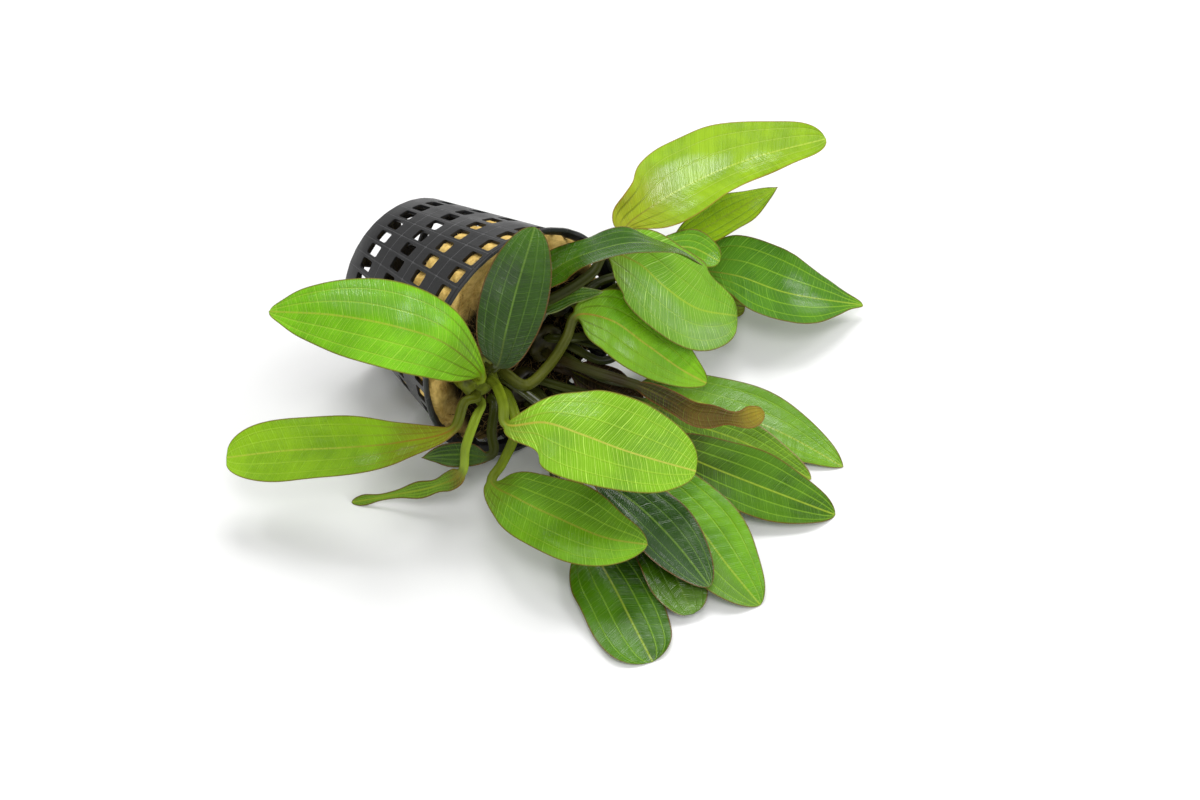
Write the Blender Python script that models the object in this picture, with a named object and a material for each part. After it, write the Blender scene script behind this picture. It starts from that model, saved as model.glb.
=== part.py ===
# A young echinodorus in a net pot, lying on its side as it does out of water.
# The pot rests on the edge of its base and on its rim, and leaves on the floor keep it from rolling.
# Lengths below are in millimetres. Leaf points are measured from the spot on the floor that is
# straight below the middle of the pot's mouth: x to the right, y to the back, z up.

import math

import bmesh
import bpy
from mathutils import Matrix, Vector

MM = 0.001
GAP = 0.3  # air kept between a crown and the plug

# The pot, measured along its own axis from the outside of its base
POT_HEIGHT = 42.0
RIM_RADIUS = 27.5
BASE_RADIUS = 18.0
WALL = 0.8
LIP_START = 40.2
LIP_SLOPE = 1.1  # height over which the wall widens to the lip
LIP_FOOT_RADIUS = 26.2
POT_HEADING = 42.2  # degrees that the mouth is turned from the front towards the right

# The windows of the wall and the slots of the base
WINDOW_COLUMNS = 32
WINDOW_ROWS = (6.3, 16.8, 26.2, 37.0)  # height of each row's middle
WINDOW_HEIGHT = 4.0
WINDOW_SHARE = 0.7  # share of a column's width that is open
SLOT_INNER_RADIUS = 7.0
SLOT_OUTER_RADIUS = 14.0
SLOT_EVERY = 4  # columns from one slot of the base to the next

# The rock wool plug and the crowns that stand in it
PLUG_FOOT = 23.0
PLUG_FACE = 35.5
PLUG_CLEARANCE = 0.5
PLUG_SIDES = 32
PLUG_EDGE_ROUNDING = 1.5
CROWN_SIDES = 12
CROWN_WAIST = 0.8  # radius where it meets the plug, as a share of its top's radius

# Where the middle of the mouth stands, so that the origin is below the middle of the whole plant
MOUTH_PLACE = (-6.8, 3.2)

# Leaf sections
STALK_RADIUS = 1.15
STALK_FLATNESS = 0.78
BLADE_THICKNESS = 0.7
TIP_HALF_WIDTH = 0.35
CUP = 0.1  # how high the edges of a blade stand over its midrib, as a share of its half width
STALK_STEPS = 2  # sections for each stretch of stalk
BLADE_STEPS = 7
OUTLINED_STEPS = 9  # for a blade that is given an outline
END_CROWDING = 0.08  # how far the sections of a blade move towards its ends, as a share of its length
LEAF_RISE = 2.6  # how far a stalk stands straight out of its crown
LEAF_SPREAD = 1.1  # how much wider apart the stalks stand there than at their feet
CURVE_STEPS = 12
OUTLINE_REACH = 8.0  # mm of outline for each radian along a blade, so that its curve is even
CUP_CURVE = 1.6  # 1 for a straight rise to the edges, more for one that grows outward
BLADE_THINNING = 0.3  # share of its thickness that a blade loses towards its tip
STALK_FADE = 0.8  # how fast the stalk's width fades along the midrib
STALK_SINK = 3  # how fast its height does
NEAR = 1.0  # the way a leaf runs is taken from points this far before and after

# The points around a section of a leaf: shares of its half width across and half thickness up
SECTION = ((1, 0), (0.6, 0.8), (0, 1), (-0.6, 0.8), (-1, 0), (-0.6, -0.8), (0, -1), (0.6, -0.8))

# The pot lies on the edge of its base and on the back edge of its lip.
LEAN = math.atan((RIM_RADIUS - BASE_RADIUS) / (LIP_START + LIP_SLOPE))
MOUTH_HEIGHT = BASE_RADIUS * math.cos(LEAN) + POT_HEIGHT * math.sin(LEAN)


# The frame of the pot: Z runs along its axis from the base to the mouth.
def pot_matrix():
    turn = Matrix.Rotation(math.radians(POT_HEADING), 4, "Z")
    tip = Matrix.Rotation(math.radians(90) - LEAN, 4, "X")
    mouth = Matrix.Translation(Vector((MOUTH_PLACE[0], MOUTH_PLACE[1], MOUTH_HEIGHT)) * MM)
    return mouth @ turn @ tip @ Matrix.Translation((0, 0, -POT_HEIGHT * MM))


# Crowns: the place of each top in the pot's frame, and its radius
CROWNS = {
    "left": {"top": (-12.0, -1.0, 43.0), "radius": 6.2},
    "upper": {"top": (5.0, 6.5, 40.0), "radius": 4.2},
    "right": {"top": (8.0, -7.0, 40.0), "radius": 5.0},
    "front": {"top": (0.0, -14.0, 40.0), "radius": 4.6},
    "back": {"top": (14.0, 1.0, 40.0), "radius": 3.8},
}

GREEN = (0.12, 0.30, 0.02)
LIME = (0.27, 0.48, 0.02)
DEEP = (0.04, 0.15, 0.02)
OLIVE = (0.20, 0.22, 0.03)
BROWN = (0.11, 0.05, 0.02)


def leaf(name, crown, foot, stalk, blade, faces, **more):
    shape = {
        "name": "leaf_" + name,
        "crown": crown,
        "foot": foot,
        "stalk": stalk,
        "blade": blade,
        "width": 0,
        "outline": (),
        "faces": faces,
        "tip_faces": faces,
        "widest": 0.5,
        "fullness": 1.25,
        "colour": GREEN,
    }
    shape.update(more)
    return shape


# Each leaf: where its foot stands on its crown, the points that its stalk passes, the points of
# its midrib from the blade's base to its tip, the blade's width, and the way its upper side faces.
LEAVES = (
    leaf("left_upper", "left", foot=(-3.0, 2.5), stalk=[],
         blade=[(-9, -13, 32), (-17, -15.5, 46), (-26, -15, 50), (-39.5, -10, 48), (-54.5, -4.5, 43)],
         outline=((0.06, 3.2, 2), (0.15, 6, 4.4), (0.28, 8.4, 7.4), (0.42, 9.4, 9.2), (0.6, 9, 9.4),
                  (0.84, 5.6, 5.8), (0.95, 2.4, 2.6)),
         faces=(0, -0.5, 0.85)),
    leaf("left_lower", "left", foot=(-4.5, -1.0), stalk=[(-12.5, -16.5, 27)],
         blade=[(-15, -23.5, 26), (-26.5, -25.5, 24), (-38.5, -24.5, 21), (-52, -23, 18), (-65, -22.5, 15)],
         width=15.8, widest=0.66, fullness=1.15, faces=(0, -0.2, 1)),
    leaf("left_curled", "left", foot=(-3.8, -3.2), stalk=[(-10, -17.6, 23.7), (-12.5, -22.3, 18.5)],
         blade=[(-13.5, -24.7, 12.4), (-19.5, -24.5, 7.4), (-27.5, -24, 4), (-38.5, -23.5, 0.2)],
         outline=((0.05, 1.6, 1.8), (0.16, 1.9, 1.9), (0.27, 1.3, 1.2), (0.42, 1.8, 1.9), (0.6, 0.8, 0.9),
                  (0.75, 0.7, 0.7), (0.88, 1.2, 1.3), (0.96, 0.9, 0.9)),
         faces=(-0.4, -0.6, 0.6)),
    leaf("left_low", "left", foot=(-1.0, -4.8), stalk=[(-7, -17.5, 17.5), (-6.5, -20.5, 14.5)],
         blade=[(-8, -21, 13.5), (-12.5, -20.6, 13.7), (-17.5, -21, 14), (-22.5, -20.1, 11.9)],
         width=5.6, widest=0.42, fullness=1.8, faces=(0.3, -0.7, 0.6), colour=DEEP),
    leaf("upright", "left", foot=(0.0, 3.5), stalk=[],
         blade=[(-5.5, -10.5, 32), (-3.5, -6.5, 39), (-1, -2, 48), (1.5, 0.5, 57), (3, 3.5, 61)],
         width=14.6, widest=0.47, fullness=0.95, faces=(0, -0.8, 0.5), colour=DEEP),
    leaf("front_large", "left", foot=(0.0, 0.0), stalk=[(-4, -20.5, 31)],
         blade=[(-3, -27, 32), (5, -28, 34), (13, -30.5, 33), (21, -32, 30), (29, -32, 26),
                (37.5, -31, 21)],
         outline=((0.12, 3.2, 5.5), (0.25, 7.6, 9.6), (0.4, 10.6, 10.2), (0.6, 11, 8.8), (0.78, 9.6, 7.2),
                  (0.92, 6.6, 4.2)),
         faces=(0, -0.5, 0.85), colour=LIME),
    leaf("front_low", "left", foot=(2.2, -4.5), stalk=[(-1.5, -18, 20), (-4.5, -23, 14)],
         blade=[(-7, -26.5, 11.5), (-1, -32, 12.5), (8, -38.5, 14), (18, -44, 14.5), (27, -45.5, 14)],
         width=18.5, widest=0.5, faces=(0, -0.2, 1)),
    leaf("right_long", "left", foot=(3.0, 0.5), stalk=[(0.3, -11.2, 26.3), (5.5, -4.5, 25), (9.5, 2.5, 26.5)],
         blade=[(11.5, 6.5, 29), (19, 7, 27), (27, 5.5, 20.5), (35, 4.5, 13), (41, 4.5, 8)],
         outline=((0.06, 3.8, 4.2), (0.2, 7, 6.6), (0.4, 8, 7.4), (0.6, 7.6, 6.4), (0.8, 5.4, 4.2),
                  (0.93, 2.8, 2.2)),
         faces=(0.1, -0.5, 0.85)),
    leaf("front_right", "left", foot=(3.5, -2.2), stalk=[(3.5, -13, 22), (11.5, -19, 17)],
         blade=[(16.5, -26, 13), (25.5, -33.5, 11.5), (33, -41.5, 9.5), (40.5, -50, 5)],
         width=14, widest=0.5, faces=(0, -0.2, 1), colour=DEEP),
    leaf("arched", "upper", foot=(-1.7, 2.2), stalk=[],
         blade=[(2, 4.5, 39.5), (8.5, 8.5, 43.5), (17, 9.5, 47.5), (24.5, 11, 48), (32, 13, 44),
                (39.5, 12.5, 39)],
         width=12.5, widest=0.4, faces=(0, 0.1, 1), tip_faces=(0, 0.5, 0.87), colour=DEEP),
    leaf("right_broad", "upper", foot=(2.2, 1.2), stalk=[(15, 11.5, 37.5)],
         blade=[(18, 16, 39), (25, 16, 36), (31, 13.5, 31), (38, 14.3, 23), (48.5, 23.2, 9.8)],
         width=20.5, widest=0.46, fullness=1.05, faces=(0.35, -0.5, 0.8)),
    leaf("young", "upper", foot=(-0.6, -2.2), stalk=[],
         blade=[(4.5, 5.5, 31.5), (10, 9, 32.5), (17.5, 10.5, 32.5)],
         width=4, widest=0.4, faces=(0, -0.3, 1)),
    leaf("right_small", "back", foot=(0.0, 2.0), stalk=[(17, 15.5, 30.5), (23.5, 18.5, 30)],
         blade=[(29, 26, 28.3), (37, 28.2, 27.8), (44, 26, 25.4)],
         width=9, widest=0.6, faces=(0, -0.2, 1)),
    leaf("back_large", "back", foot=(2.0, -0.3), stalk=[(18.5, 14, 28), (24.5, 21, 27)],
         blade=[(22, 32.5, 28), (29.5, 38.5, 31), (40.5, 45, 33), (52.5, 50.5, 34), (69, 55.5, 35)],
         outline=((0.04, 4, 2), (0.1, 4.8, 4.6), (0.17, 7.2, 7), (0.25, 11, 8.2), (0.36, 12.8, 8.4),
                  (0.5, 12.6, 7), (0.65, 10.8, 5.2), (0.8, 8.6, 4.7), (0.92, 6, 4.2)),
         faces=(0, -0.1, 1), colour=LIME),
    leaf("back_under", "back", foot=(0.0, -2.2), stalk=[(19.5, 14, 24.5), (27, 23, 22.5), (32.5, 29, 22)],
         blade=[(34, 34, 22), (41, 39.5, 22), (49.5, 47, 21), (58.5, 54.5, 20)],
         width=10.5, widest=0.45, fullness=1.8, faces=(0, -0.1, 1), colour=LIME),
    leaf("right_back", "right", foot=(-0.8, 3.8), stalk=[(19.5, 9.5, 20.5), (27, 18, 18), (34.5, 26.5, 17)],
         blade=[(38.5, 31, 16), (48, 31, 15), (59.5, 28.5, 12), (78.5, 32.5, 3)],
         outline=((0.1, 7.5, 2.6), (0.2, 10.2, 4.8), (0.38, 10.8, 8), (0.53, 10.2, 8.2), (0.66, 8.6, 7),
                  (0.8, 6, 4.4), (0.92, 2.4, 1.7)),
         faces=(0, -0.2, 1)),
    leaf("right_hidden", "right", foot=(3.2, 1.6),
         stalk=[(19.5, 8.5, 16.5), (28.5, 20.5, 12), (37.5, 32.5, 10)],
         blade=[(41.5, 39.5, 9), (52, 42.5, 8), (63, 45.5, 4)],
         width=9, widest=0.5, faces=(0, -0.2, 1), colour=OLIVE),
    leaf("right_under", "right", foot=(3.4, -1.0), stalk=[(17.5, 7, 13), (26, 19, 8)],
         blade=[(33, 30.5, 4.5), (41.5, 33.5, 3.5), (51, 34.5, 0.2)],
         width=10, widest=0.6, faces=(0, -0.2, 1), colour=OLIVE),
    leaf("right_curled", "right", foot=(-2.2, 0.3), stalk=[(14.5, -2.5, 21)],
         blade=[(25.5, -5.5, 19), (32.5, -9, 18), (38, -13, 18), (43.5, -13.5, 18), (48.5, -14, 18),
                (53, -12, 18)],
         outline=((0.1, 1.6, 1.6), (0.35, 2.4, 2.2), (0.58, 2.7, 2.6), (0.74, 1.5, 1.5), (0.88, 2.5, 2.5),
                  (0.96, 1.8, 1.8)),
         faces=(0, -0.5, 0.8), colour=OLIVE),
    leaf("right_top", "right", foot=(1.6, -2.6), stalk=[(17, 0, 15.5)],
         blade=[(26, 1.5, 10.5), (38, 1.5, 5.5), (49, -1, 3), (60, -6, 1.5), (71.5, -13.5, 0.2)],
         width=17, widest=0.46, fullness=1.4, faces=(0, -0.05, 1)),
    leaf("old_brown", "right", foot=(-1.4, -3.2), stalk=[],
         blade=[(10.5, 3.2, 13.5), (18, 2.4, 9.2), (27, 1, 5)],
         width=10, widest=0.45, faces=(0, -0.3, 1), colour=BROWN),
    leaf("right_middle", "front", foot=(0.8, 3.2), stalk=[(16.5, -3, 12.5)],
         blade=[(26, -3.5, 11), (37, -7.5, 8.5), (49.5, -10.5, 5), (64, -18, 1.5)],
         width=11, widest=0.5, faces=(0, -0.1, 1), colour=OLIVE),
    leaf("right_bottom", "front", foot=(3.2, 0.3), stalk=[(17, -8, 10.5)],
         blade=[(29, -14, 9.5), (40, -18.5, 7.5), (52, -23, 5.5), (69, -27, 0.2)],
         width=16, widest=0.5, faces=(0, -0.2, 1)),
    leaf("front_outer", "front", foot=(0.2, 0.2), stalk=[(14.5, -16, 10)],
         blade=[(25.5, -21, 9.5), (36.5, -33, 7.5), (44.5, -44.5, 5), (51.5, -51.5, 0.2)],
         width=18, widest=0.5, faces=(0, -0.2, 1)),
    leaf("front_wet", "front", foot=(1.6, -2.6), stalk=[(11, -13.5, 6), (20, -26, 3.5)],
         blade=[(26, -33, 4.6), (31, -42, 4.8), (36.8, -55, 1.8)],
         width=13, widest=0.55, faces=(0, -0.1, 1), fullness=0.9, colour=DEEP),
    leaf("front_bottom", "front", foot=(-1.6, -2.6), stalk=[(5, -11.5, 7.5), (8.5, -27, 4)],
         blade=[(14.5, -37, 2.2), (19.8, -47.5, 1.5), (23.4, -56, 1.2), (28, -66.3, 0.2)],
         outline=((0.1, 5.6, 6.4), (0.3, 7.8, 9), (0.5, 8, 9.2), (0.7, 7.8, 9), (0.85, 6.8, 8),
                  (0.95, 4.5, 5.5)),
         faces=(0, -0.1, 1)),
)


def clear_scene():
    for old in list(bpy.data.objects):
        bpy.data.objects.remove(old, do_unlink=True)


def material(name, colour, roughness):
    made = bpy.data.materials.new(name)
    made.use_nodes = True
    surface = made.node_tree.nodes["Principled BSDF"]
    surface.inputs["Base Color"].default_value = (*colour, 1)
    surface.inputs["Roughness"].default_value = roughness
    surface.inputs["Metallic"].default_value = 0
    return made


def add_object(name, bm, surface, parent=None):
    mesh = bpy.data.meshes.new(name)
    bm.to_mesh(mesh)
    bm.free()
    mesh.materials.append(surface)
    mesh.shade_smooth()
    mesh.set_sharp_from_angle(angle=math.radians(40))
    made = bpy.data.objects.new(name, mesh)
    bpy.context.scene.collection.objects.link(made)
    made.parent = parent
    return made


def ring(bm, radius, height, angles):
    return [bm.verts.new((radius * math.cos(a) * MM, radius * math.sin(a) * MM, height * MM)) for a in angles]


def wall_radius(height):
    return BASE_RADIUS + (LIP_FOOT_RADIUS - BASE_RADIUS) * height / LIP_START


# The edges of every column: a window or slot lies between an even edge and the odd one after it.
def column_angles():
    pitch = 2 * math.pi / WINDOW_COLUMNS
    half = pitch * WINDOW_SHARE / 2
    middles = [math.pi / 2 + column * pitch for column in range(WINDOW_COLUMNS)]
    return [middle + side * half for middle in middles for side in (-1, 1)]


# One thin skin from the middle of the base to the lip, with holes left in it, then made solid.
def build_pot(parent):
    angles = column_angles()
    bm = bmesh.new()
    rings = [ring(bm, SLOT_INNER_RADIUS, 0, angles), ring(bm, SLOT_OUTER_RADIUS, 0, angles)]
    rings.append(ring(bm, BASE_RADIUS, 0, angles))
    slot_bands = {0}
    window_bands = set()
    for middle in WINDOW_ROWS:
        window_bands.add(len(rings))
        for height in (middle - WINDOW_HEIGHT / 2, middle + WINDOW_HEIGHT / 2):
            rings.append(ring(bm, wall_radius(height), height, angles))
    rings.append(ring(bm, LIP_FOOT_RADIUS, LIP_START, angles))
    rings.append(ring(bm, RIM_RADIUS, LIP_START + LIP_SLOPE, angles))
    rings.append(ring(bm, RIM_RADIUS, POT_HEIGHT, angles))
    bm.faces.new(reversed(rings[0]))
    count = len(angles)
    for band, (low, high) in enumerate(zip(rings, rings[1:])):
        for i in range(count):
            column, part = divmod(i, 2)
            is_window = band in window_bands and part == 0
            is_slot = band in slot_bands and column % SLOT_EVERY != 0
            if not (is_window or is_slot):
                j = (i + 1) % count
                bm.faces.new((low[i], low[j], high[j], high[i]))
    bmesh.ops.recalc_face_normals(bm, faces=bm.faces)
    bmesh.ops.solidify(bm, geom=bm.faces, thickness=WALL * MM)
    return add_object("net_pot", bm, material("black_plastic", (0.012, 0.012, 0.013), 0.45), parent)


def turned(bm, outline, sides):
    start = [bm.verts.new((radius * MM, 0, height * MM)) for radius, height in outline]
    edges = [bm.edges.new(pair) for pair in zip(start, start[1:])]
    bmesh.ops.spin(bm, geom=start + edges, cent=(0, 0, 0), axis=(0, 0, 1), angle=2 * math.pi,
                   steps=sides, use_merge=True)
    bmesh.ops.remove_doubles(bm, verts=bm.verts, dist=0.01 * MM)
    bmesh.ops.recalc_face_normals(bm, faces=bm.faces)


def build_plug(parent):
    rounding = PLUG_EDGE_ROUNDING
    low = PLUG_FOOT + rounding
    high = PLUG_FACE - rounding
    low_radius = wall_radius(low) - WALL - PLUG_CLEARANCE
    high_radius = wall_radius(high) - WALL - PLUG_CLEARANCE
    outline = (
        (0, PLUG_FOOT),
        (low_radius - rounding, PLUG_FOOT),
        (low_radius, low),
        (high_radius, high),
        (high_radius - rounding, PLUG_FACE),
        (0, PLUG_FACE),
    )
    bm = bmesh.new()
    turned(bm, outline, PLUG_SIDES)
    return add_object("rock_wool_plug", bm, material("rock_wool", (0.45, 0.31, 0.13), 0.95), parent)


def build_crown(name, crown, parent):
    x, y, top = crown["top"]
    radius = crown["radius"]
    foot = PLUG_FACE + GAP
    rounding = radius * (1 - CROWN_WAIST)
    outline = (
        (0, foot),
        (radius * CROWN_WAIST, foot),
        (radius, (foot + top) / 2),
        (radius, top - rounding),
        (radius - rounding, top - rounding / 3),
        (0, top),
    )
    bm = bmesh.new()
    turned(bm, outline, CROWN_SIDES)
    made = add_object("crown_" + name, bm, material("crown_" + name + "_flesh", OLIVE, 0.5), parent)
    made.location = (x * MM, y * MM, 0)
    return made


# A smooth curve through the points: many short steps, and how far along it each of them lies
def curve_through(points):
    ends = [2 * points[0] - points[1], *points, 2 * points[-1] - points[-2]]
    line = [points[0]]
    for a, b, c, d in zip(ends, ends[1:], ends[2:], ends[3:]):
        t1 = math.sqrt((b - a).length)
        t2 = t1 + math.sqrt((c - b).length)
        t3 = t2 + math.sqrt((d - c).length)
        for step in range(1, CURVE_STEPS + 1):
            t = t1 + (t2 - t1) * step / CURVE_STEPS
            ab = a.lerp(b, t / t1)
            bc = b.lerp(c, (t - t1) / (t2 - t1))
            cd = c.lerp(d, (t - t2) / (t3 - t2))
            line.append(ab.lerp(bc, t / t2).lerp(bc.lerp(cd, (t - t1) / (t3 - t1)), (t - t1) / (t2 - t1)))
    along = [0.0]
    for p, q in zip(line, line[1:]):
        along.append(along[-1] + (q - p).length)
    return line, along


def point_at(line, along, distance):
    distance = min(max(distance, 0), along[-1])
    i = next(k for k in range(1, len(along)) if along[k] >= distance - 1e-9)
    return line[i - 1].lerp(line[i], (distance - along[i - 1]) / (along[i] - along[i - 1]))


# Half widths left and right of the midrib at a share t of the blade's length, along a smooth curve
# through the outline's points. A place near an end counts for more, which makes the ends round.
def outline_half_widths(shape, t):
    spots = [(0, 0, 0), *shape["outline"], (1, 0, 0)]
    points = [Vector((OUTLINE_REACH * math.acos(1 - 2 * s), left, right)) for s, left, right in spots]
    line, _ = curve_through(points)
    place = OUTLINE_REACH * math.acos(1 - 2 * t)
    i = next(k for k in range(1, len(line)) if line[k].x >= place - 1e-6)
    spot = line[i - 1].lerp(line[i], (place - line[i - 1].x) / (line[i].x - line[i - 1].x))
    return max(spot.y, 0), max(spot.z, 0)


# The same for a blade without an outline: a bulge that is widest where it should be
def blade_half_widths(shape, t):
    if shape["outline"]:
        return outline_half_widths(shape, t)
    rise = shape["fullness"] * shape["widest"]
    fall = shape["fullness"] * (1 - shape["widest"])
    most = shape["widest"] ** rise * (1 - shape["widest"]) ** fall
    half = shape["width"] / 2 * t**rise * (1 - t) ** fall / most
    return half, half


# The points that a leaf's midrib runs through, from its foot on the crown to its tip
def midrib_points(shape, to_world):
    crown = CROWNS[shape["crown"]]
    x, y, top = crown["top"]
    u, v = shape["foot"]
    foot = to_world @ (Vector((x + u, y + v, top + STALK_RADIUS / 2)) * MM) / MM
    rise = to_world @ (Vector((x + LEAF_SPREAD * u, y + LEAF_SPREAD * v, top + LEAF_RISE)) * MM) / MM
    shift = Vector((*MOUTH_PLACE, 0))
    return [foot, rise] + [Vector(p) + shift for p in (*shape["stalk"], *shape["blade"])]


def build_leaf(shape, to_world):
    points = midrib_points(shape, to_world)
    line, along = curve_through(points)
    rise = along[CURVE_STEPS]
    base = along[(2 + len(shape["stalk"])) * CURVE_STEPS]
    steps = (1 + len(shape["stalk"])) * STALK_STEPS
    places = [0] + [rise + (base - rise) * k / steps for k in range(steps)]
    count = OUTLINED_STEPS if shape["outline"] else BLADE_STEPS
    for k in range(count + 1):
        share = k / count - END_CROWDING * math.sin(2 * math.pi * k / count)
        places.append(base + (along[-1] - base) * share)
    bm = bmesh.new()
    loops = []
    for place in places:
        t = min(max(0, (place - base) / (along[-1] - base)), 1)
        middle = point_at(line, along, place)
        forward = (point_at(line, along, place + NEAR) - point_at(line, along, place - NEAR)).normalized()
        face = Vector(shape["faces"]).lerp(Vector(shape["tip_faces"]), t)
        side = forward.cross(face).normalized()
        up = side.cross(forward)
        stalk = STALK_RADIUS * (1 - t) ** STALK_FADE
        blade = blade_half_widths(shape, t)
        thickness = BLADE_THICKNESS * (1 - BLADE_THINNING * t)
        half_depth = max(thickness / 2, STALK_FLATNESS * STALK_RADIUS * (1 - t) ** STALK_SINK)
        loop = []
        for across, over in SECTION:
            blade_half = blade[across > 0]
            half_width = max(math.hypot(stalk, blade_half), TIP_HALF_WIDTH)
            cup = CUP * blade_half * abs(across) ** CUP_CURVE
            point = middle + side * half_width * across + up * (cup + half_depth * over)
            point.z = max(point.z, BLADE_THICKNESS / 2 * (1 + over))
            loop.append(bm.verts.new(point * MM))
        loops.append(loop)
    for low, high in zip(loops, loops[1:]):
        bmesh.ops.bridge_loops(bm, edges=ring_edges(bm, low) + ring_edges(bm, high))
    bm.faces.new(loops[0])
    bm.faces.new(reversed(loops[-1]))
    bmesh.ops.triangulate(bm, faces=bm.faces)
    bmesh.ops.recalc_face_normals(bm, faces=bm.faces)
    surface = material(shape["name"] + "_skin", shape["colour"], 0.35)
    return add_object(shape["name"], bm, surface)


def ring_edges(bm, loop):
    edges = []
    for a, b in zip(loop, loop[1:] + loop[:1]):
        edges.append(bm.edges.get((a, b)) or bm.edges.new((a, b)))
    return edges


def main():
    clear_scene()
    pot_axis = bpy.data.objects.new("pot_axis", None)
    bpy.context.scene.collection.objects.link(pot_axis)
    pot_axis.matrix_world = pot_matrix()
    build_pot(pot_axis)
    build_plug(pot_axis)
    for name, crown in CROWNS.items():
        build_crown(name, crown, pot_axis)
    for shape in LEAVES:
        build_leaf(shape, pot_matrix())


main()
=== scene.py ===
import math
import random

import bmesh
import bpy
from mathutils import Matrix, Vector, noise
from mathutils.kdtree import KDTree


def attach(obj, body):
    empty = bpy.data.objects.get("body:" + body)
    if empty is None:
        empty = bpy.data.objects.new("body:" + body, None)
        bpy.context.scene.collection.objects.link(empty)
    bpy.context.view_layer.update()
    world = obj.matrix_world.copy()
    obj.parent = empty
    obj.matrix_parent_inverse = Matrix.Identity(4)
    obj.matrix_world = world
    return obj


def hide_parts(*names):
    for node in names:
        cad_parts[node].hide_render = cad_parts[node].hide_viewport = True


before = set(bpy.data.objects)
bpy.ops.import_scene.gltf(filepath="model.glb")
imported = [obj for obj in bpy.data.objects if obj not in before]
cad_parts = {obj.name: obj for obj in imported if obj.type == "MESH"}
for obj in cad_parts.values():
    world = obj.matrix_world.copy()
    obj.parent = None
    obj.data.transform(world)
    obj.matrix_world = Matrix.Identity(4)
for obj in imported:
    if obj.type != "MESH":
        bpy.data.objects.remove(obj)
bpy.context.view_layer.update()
mm = 0.001

# Where the middle of the pot's mouth stands on the floor plan, in millimetres
mouthPlace = Vector((-6.8, 3.2, 0))

view = {
    "aim": (10.0, 9.4, 0),  # mm
    "elevation": 50.5,  # degrees above the floor
    "distance": 650,  # mm
    "lens": 85,
}

studio = {
    "world": 0.55,
    "floorColour": (0.9, 0.9, 0.9),
    "floorSize": 6.0,  # m
    "lights": [
        {"name": "backBox", "place": (0.06, 0.65, 1.13), "size": (0.6, 0.45), "power": 7},
        {"name": "frontBox", "place": (0.02, -0.49, 1.2), "size": (0.45, 0.4), "power": 3.5},
        {"name": "rightBox", "place": (1.01, -0.54, 0.61), "size": (0.4, 0.4), "power": 4},
        {"name": "farBox", "place": (0.89, 0.51, 0.8), "size": (0.3, 0.3), "power": 2.5},
        {"name": "leftBox", "place": (-0.56, 0.47, 1.08), "size": (0.2, 0.2), "power": 1.5},
    ],
}


def makeMaterial(name, **fixed):
    material = bpy.data.materials.new(name)
    material.use_nodes = True
    shader = material.node_tree.nodes["Principled BSDF"]
    for socket, value in fixed.items():
        shader.inputs[socket.replace("_", " ")].default_value = value
    return material, shader


def addNode(material, kind, inputs=(), **settings):
    node = material.node_tree.nodes.new("ShaderNode" + kind)
    for key, value in settings.items():
        setattr(node, key, value)
    for key, value in dict(inputs).items():
        connect(material, value, node.inputs[key])
    return node


def connect(material, value, socket):
    if isinstance(value, bpy.types.NodeSocket):
        material.node_tree.links.new(value, socket)
    else:
        socket.default_value = value


def calc(material, operation, a, b=0.0, clamp=False):
    return addNode(material, "Math", {0: a, 1: b}, operation=operation, use_clamp=clamp).outputs[0]


def between(material, value, low, high, atLow=0.0, atHigh=1.0):
    inputs = {"Value": value, "From Min": low, "From Max": high, "To Min": atLow, "To Max": atHigh}
    return addNode(material, "MapRange", inputs, interpolation_type="SMOOTHSTEP").outputs[0]


def mixColour(material, share, a, b):
    a = a if isinstance(a, bpy.types.NodeSocket) else (*a, 1)
    b = b if isinstance(b, bpy.types.NodeSocket) else (*b, 1)
    return addNode(material, "Mix", {0: share, 6: a, 7: b}, data_type="RGBA").outputs[2]


def noiseOf(material, vector, scale, detail=2.0, roughness=0.5):
    inputs = {"Vector": vector, "Scale": scale, "Detail": detail, "Roughness": roughness}
    return addNode(material, "TexNoise", inputs).outputs[0]


def times(material, *values):
    product = values[0]
    for value in values[1:]:
        product = calc(material, "MULTIPLY", product, value)
    return product


def plus(material, a, b):
    return calc(material, "ADD", a, b)


def minus(material, a, b):
    return calc(material, "SUBTRACT", a, b)


def addPiece(name, bm, material, nodes):
    mesh = bpy.data.meshes.new(name)
    bm.to_mesh(mesh)
    bm.free()
    mesh.materials.append(material)
    mesh.shade_smooth()
    piece = bpy.data.objects.new(name, mesh)
    bpy.context.scene.collection.objects.link(piece)
    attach(piece, "root")
    if nodes:
        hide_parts(*nodes)
    return piece


def addCamera():
    tilt = math.radians(view["elevation"])
    aim = Vector(view["aim"]) * mm
    camera = bpy.data.objects.new("camera", bpy.data.cameras.new("camera"))
    bpy.context.scene.collection.objects.link(camera)
    camera.data.lens = view["lens"]
    camera.data.sensor_width = 36
    camera.data.clip_start = 0.01
    camera.location = aim + Vector((0, -math.cos(tilt), math.sin(tilt))) * view["distance"] * mm
    camera.rotation_euler = (math.radians(90) - tilt, 0, 0)
    bpy.context.scene.camera = camera


def addFloor():
    bm = bmesh.new()
    bmesh.ops.create_grid(bm, x_segments=1, y_segments=1, size=studio["floorSize"] / 2)
    mesh = bpy.data.meshes.new("floor")
    bm.to_mesh(mesh)
    bm.free()
    material, _ = makeMaterial("floorPaper", Base_Color=(*studio["floorColour"], 1), Roughness=0.9)
    mesh.materials.append(material)
    floor = bpy.data.objects.new("floor", mesh)
    bpy.context.scene.collection.objects.link(floor)


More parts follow.
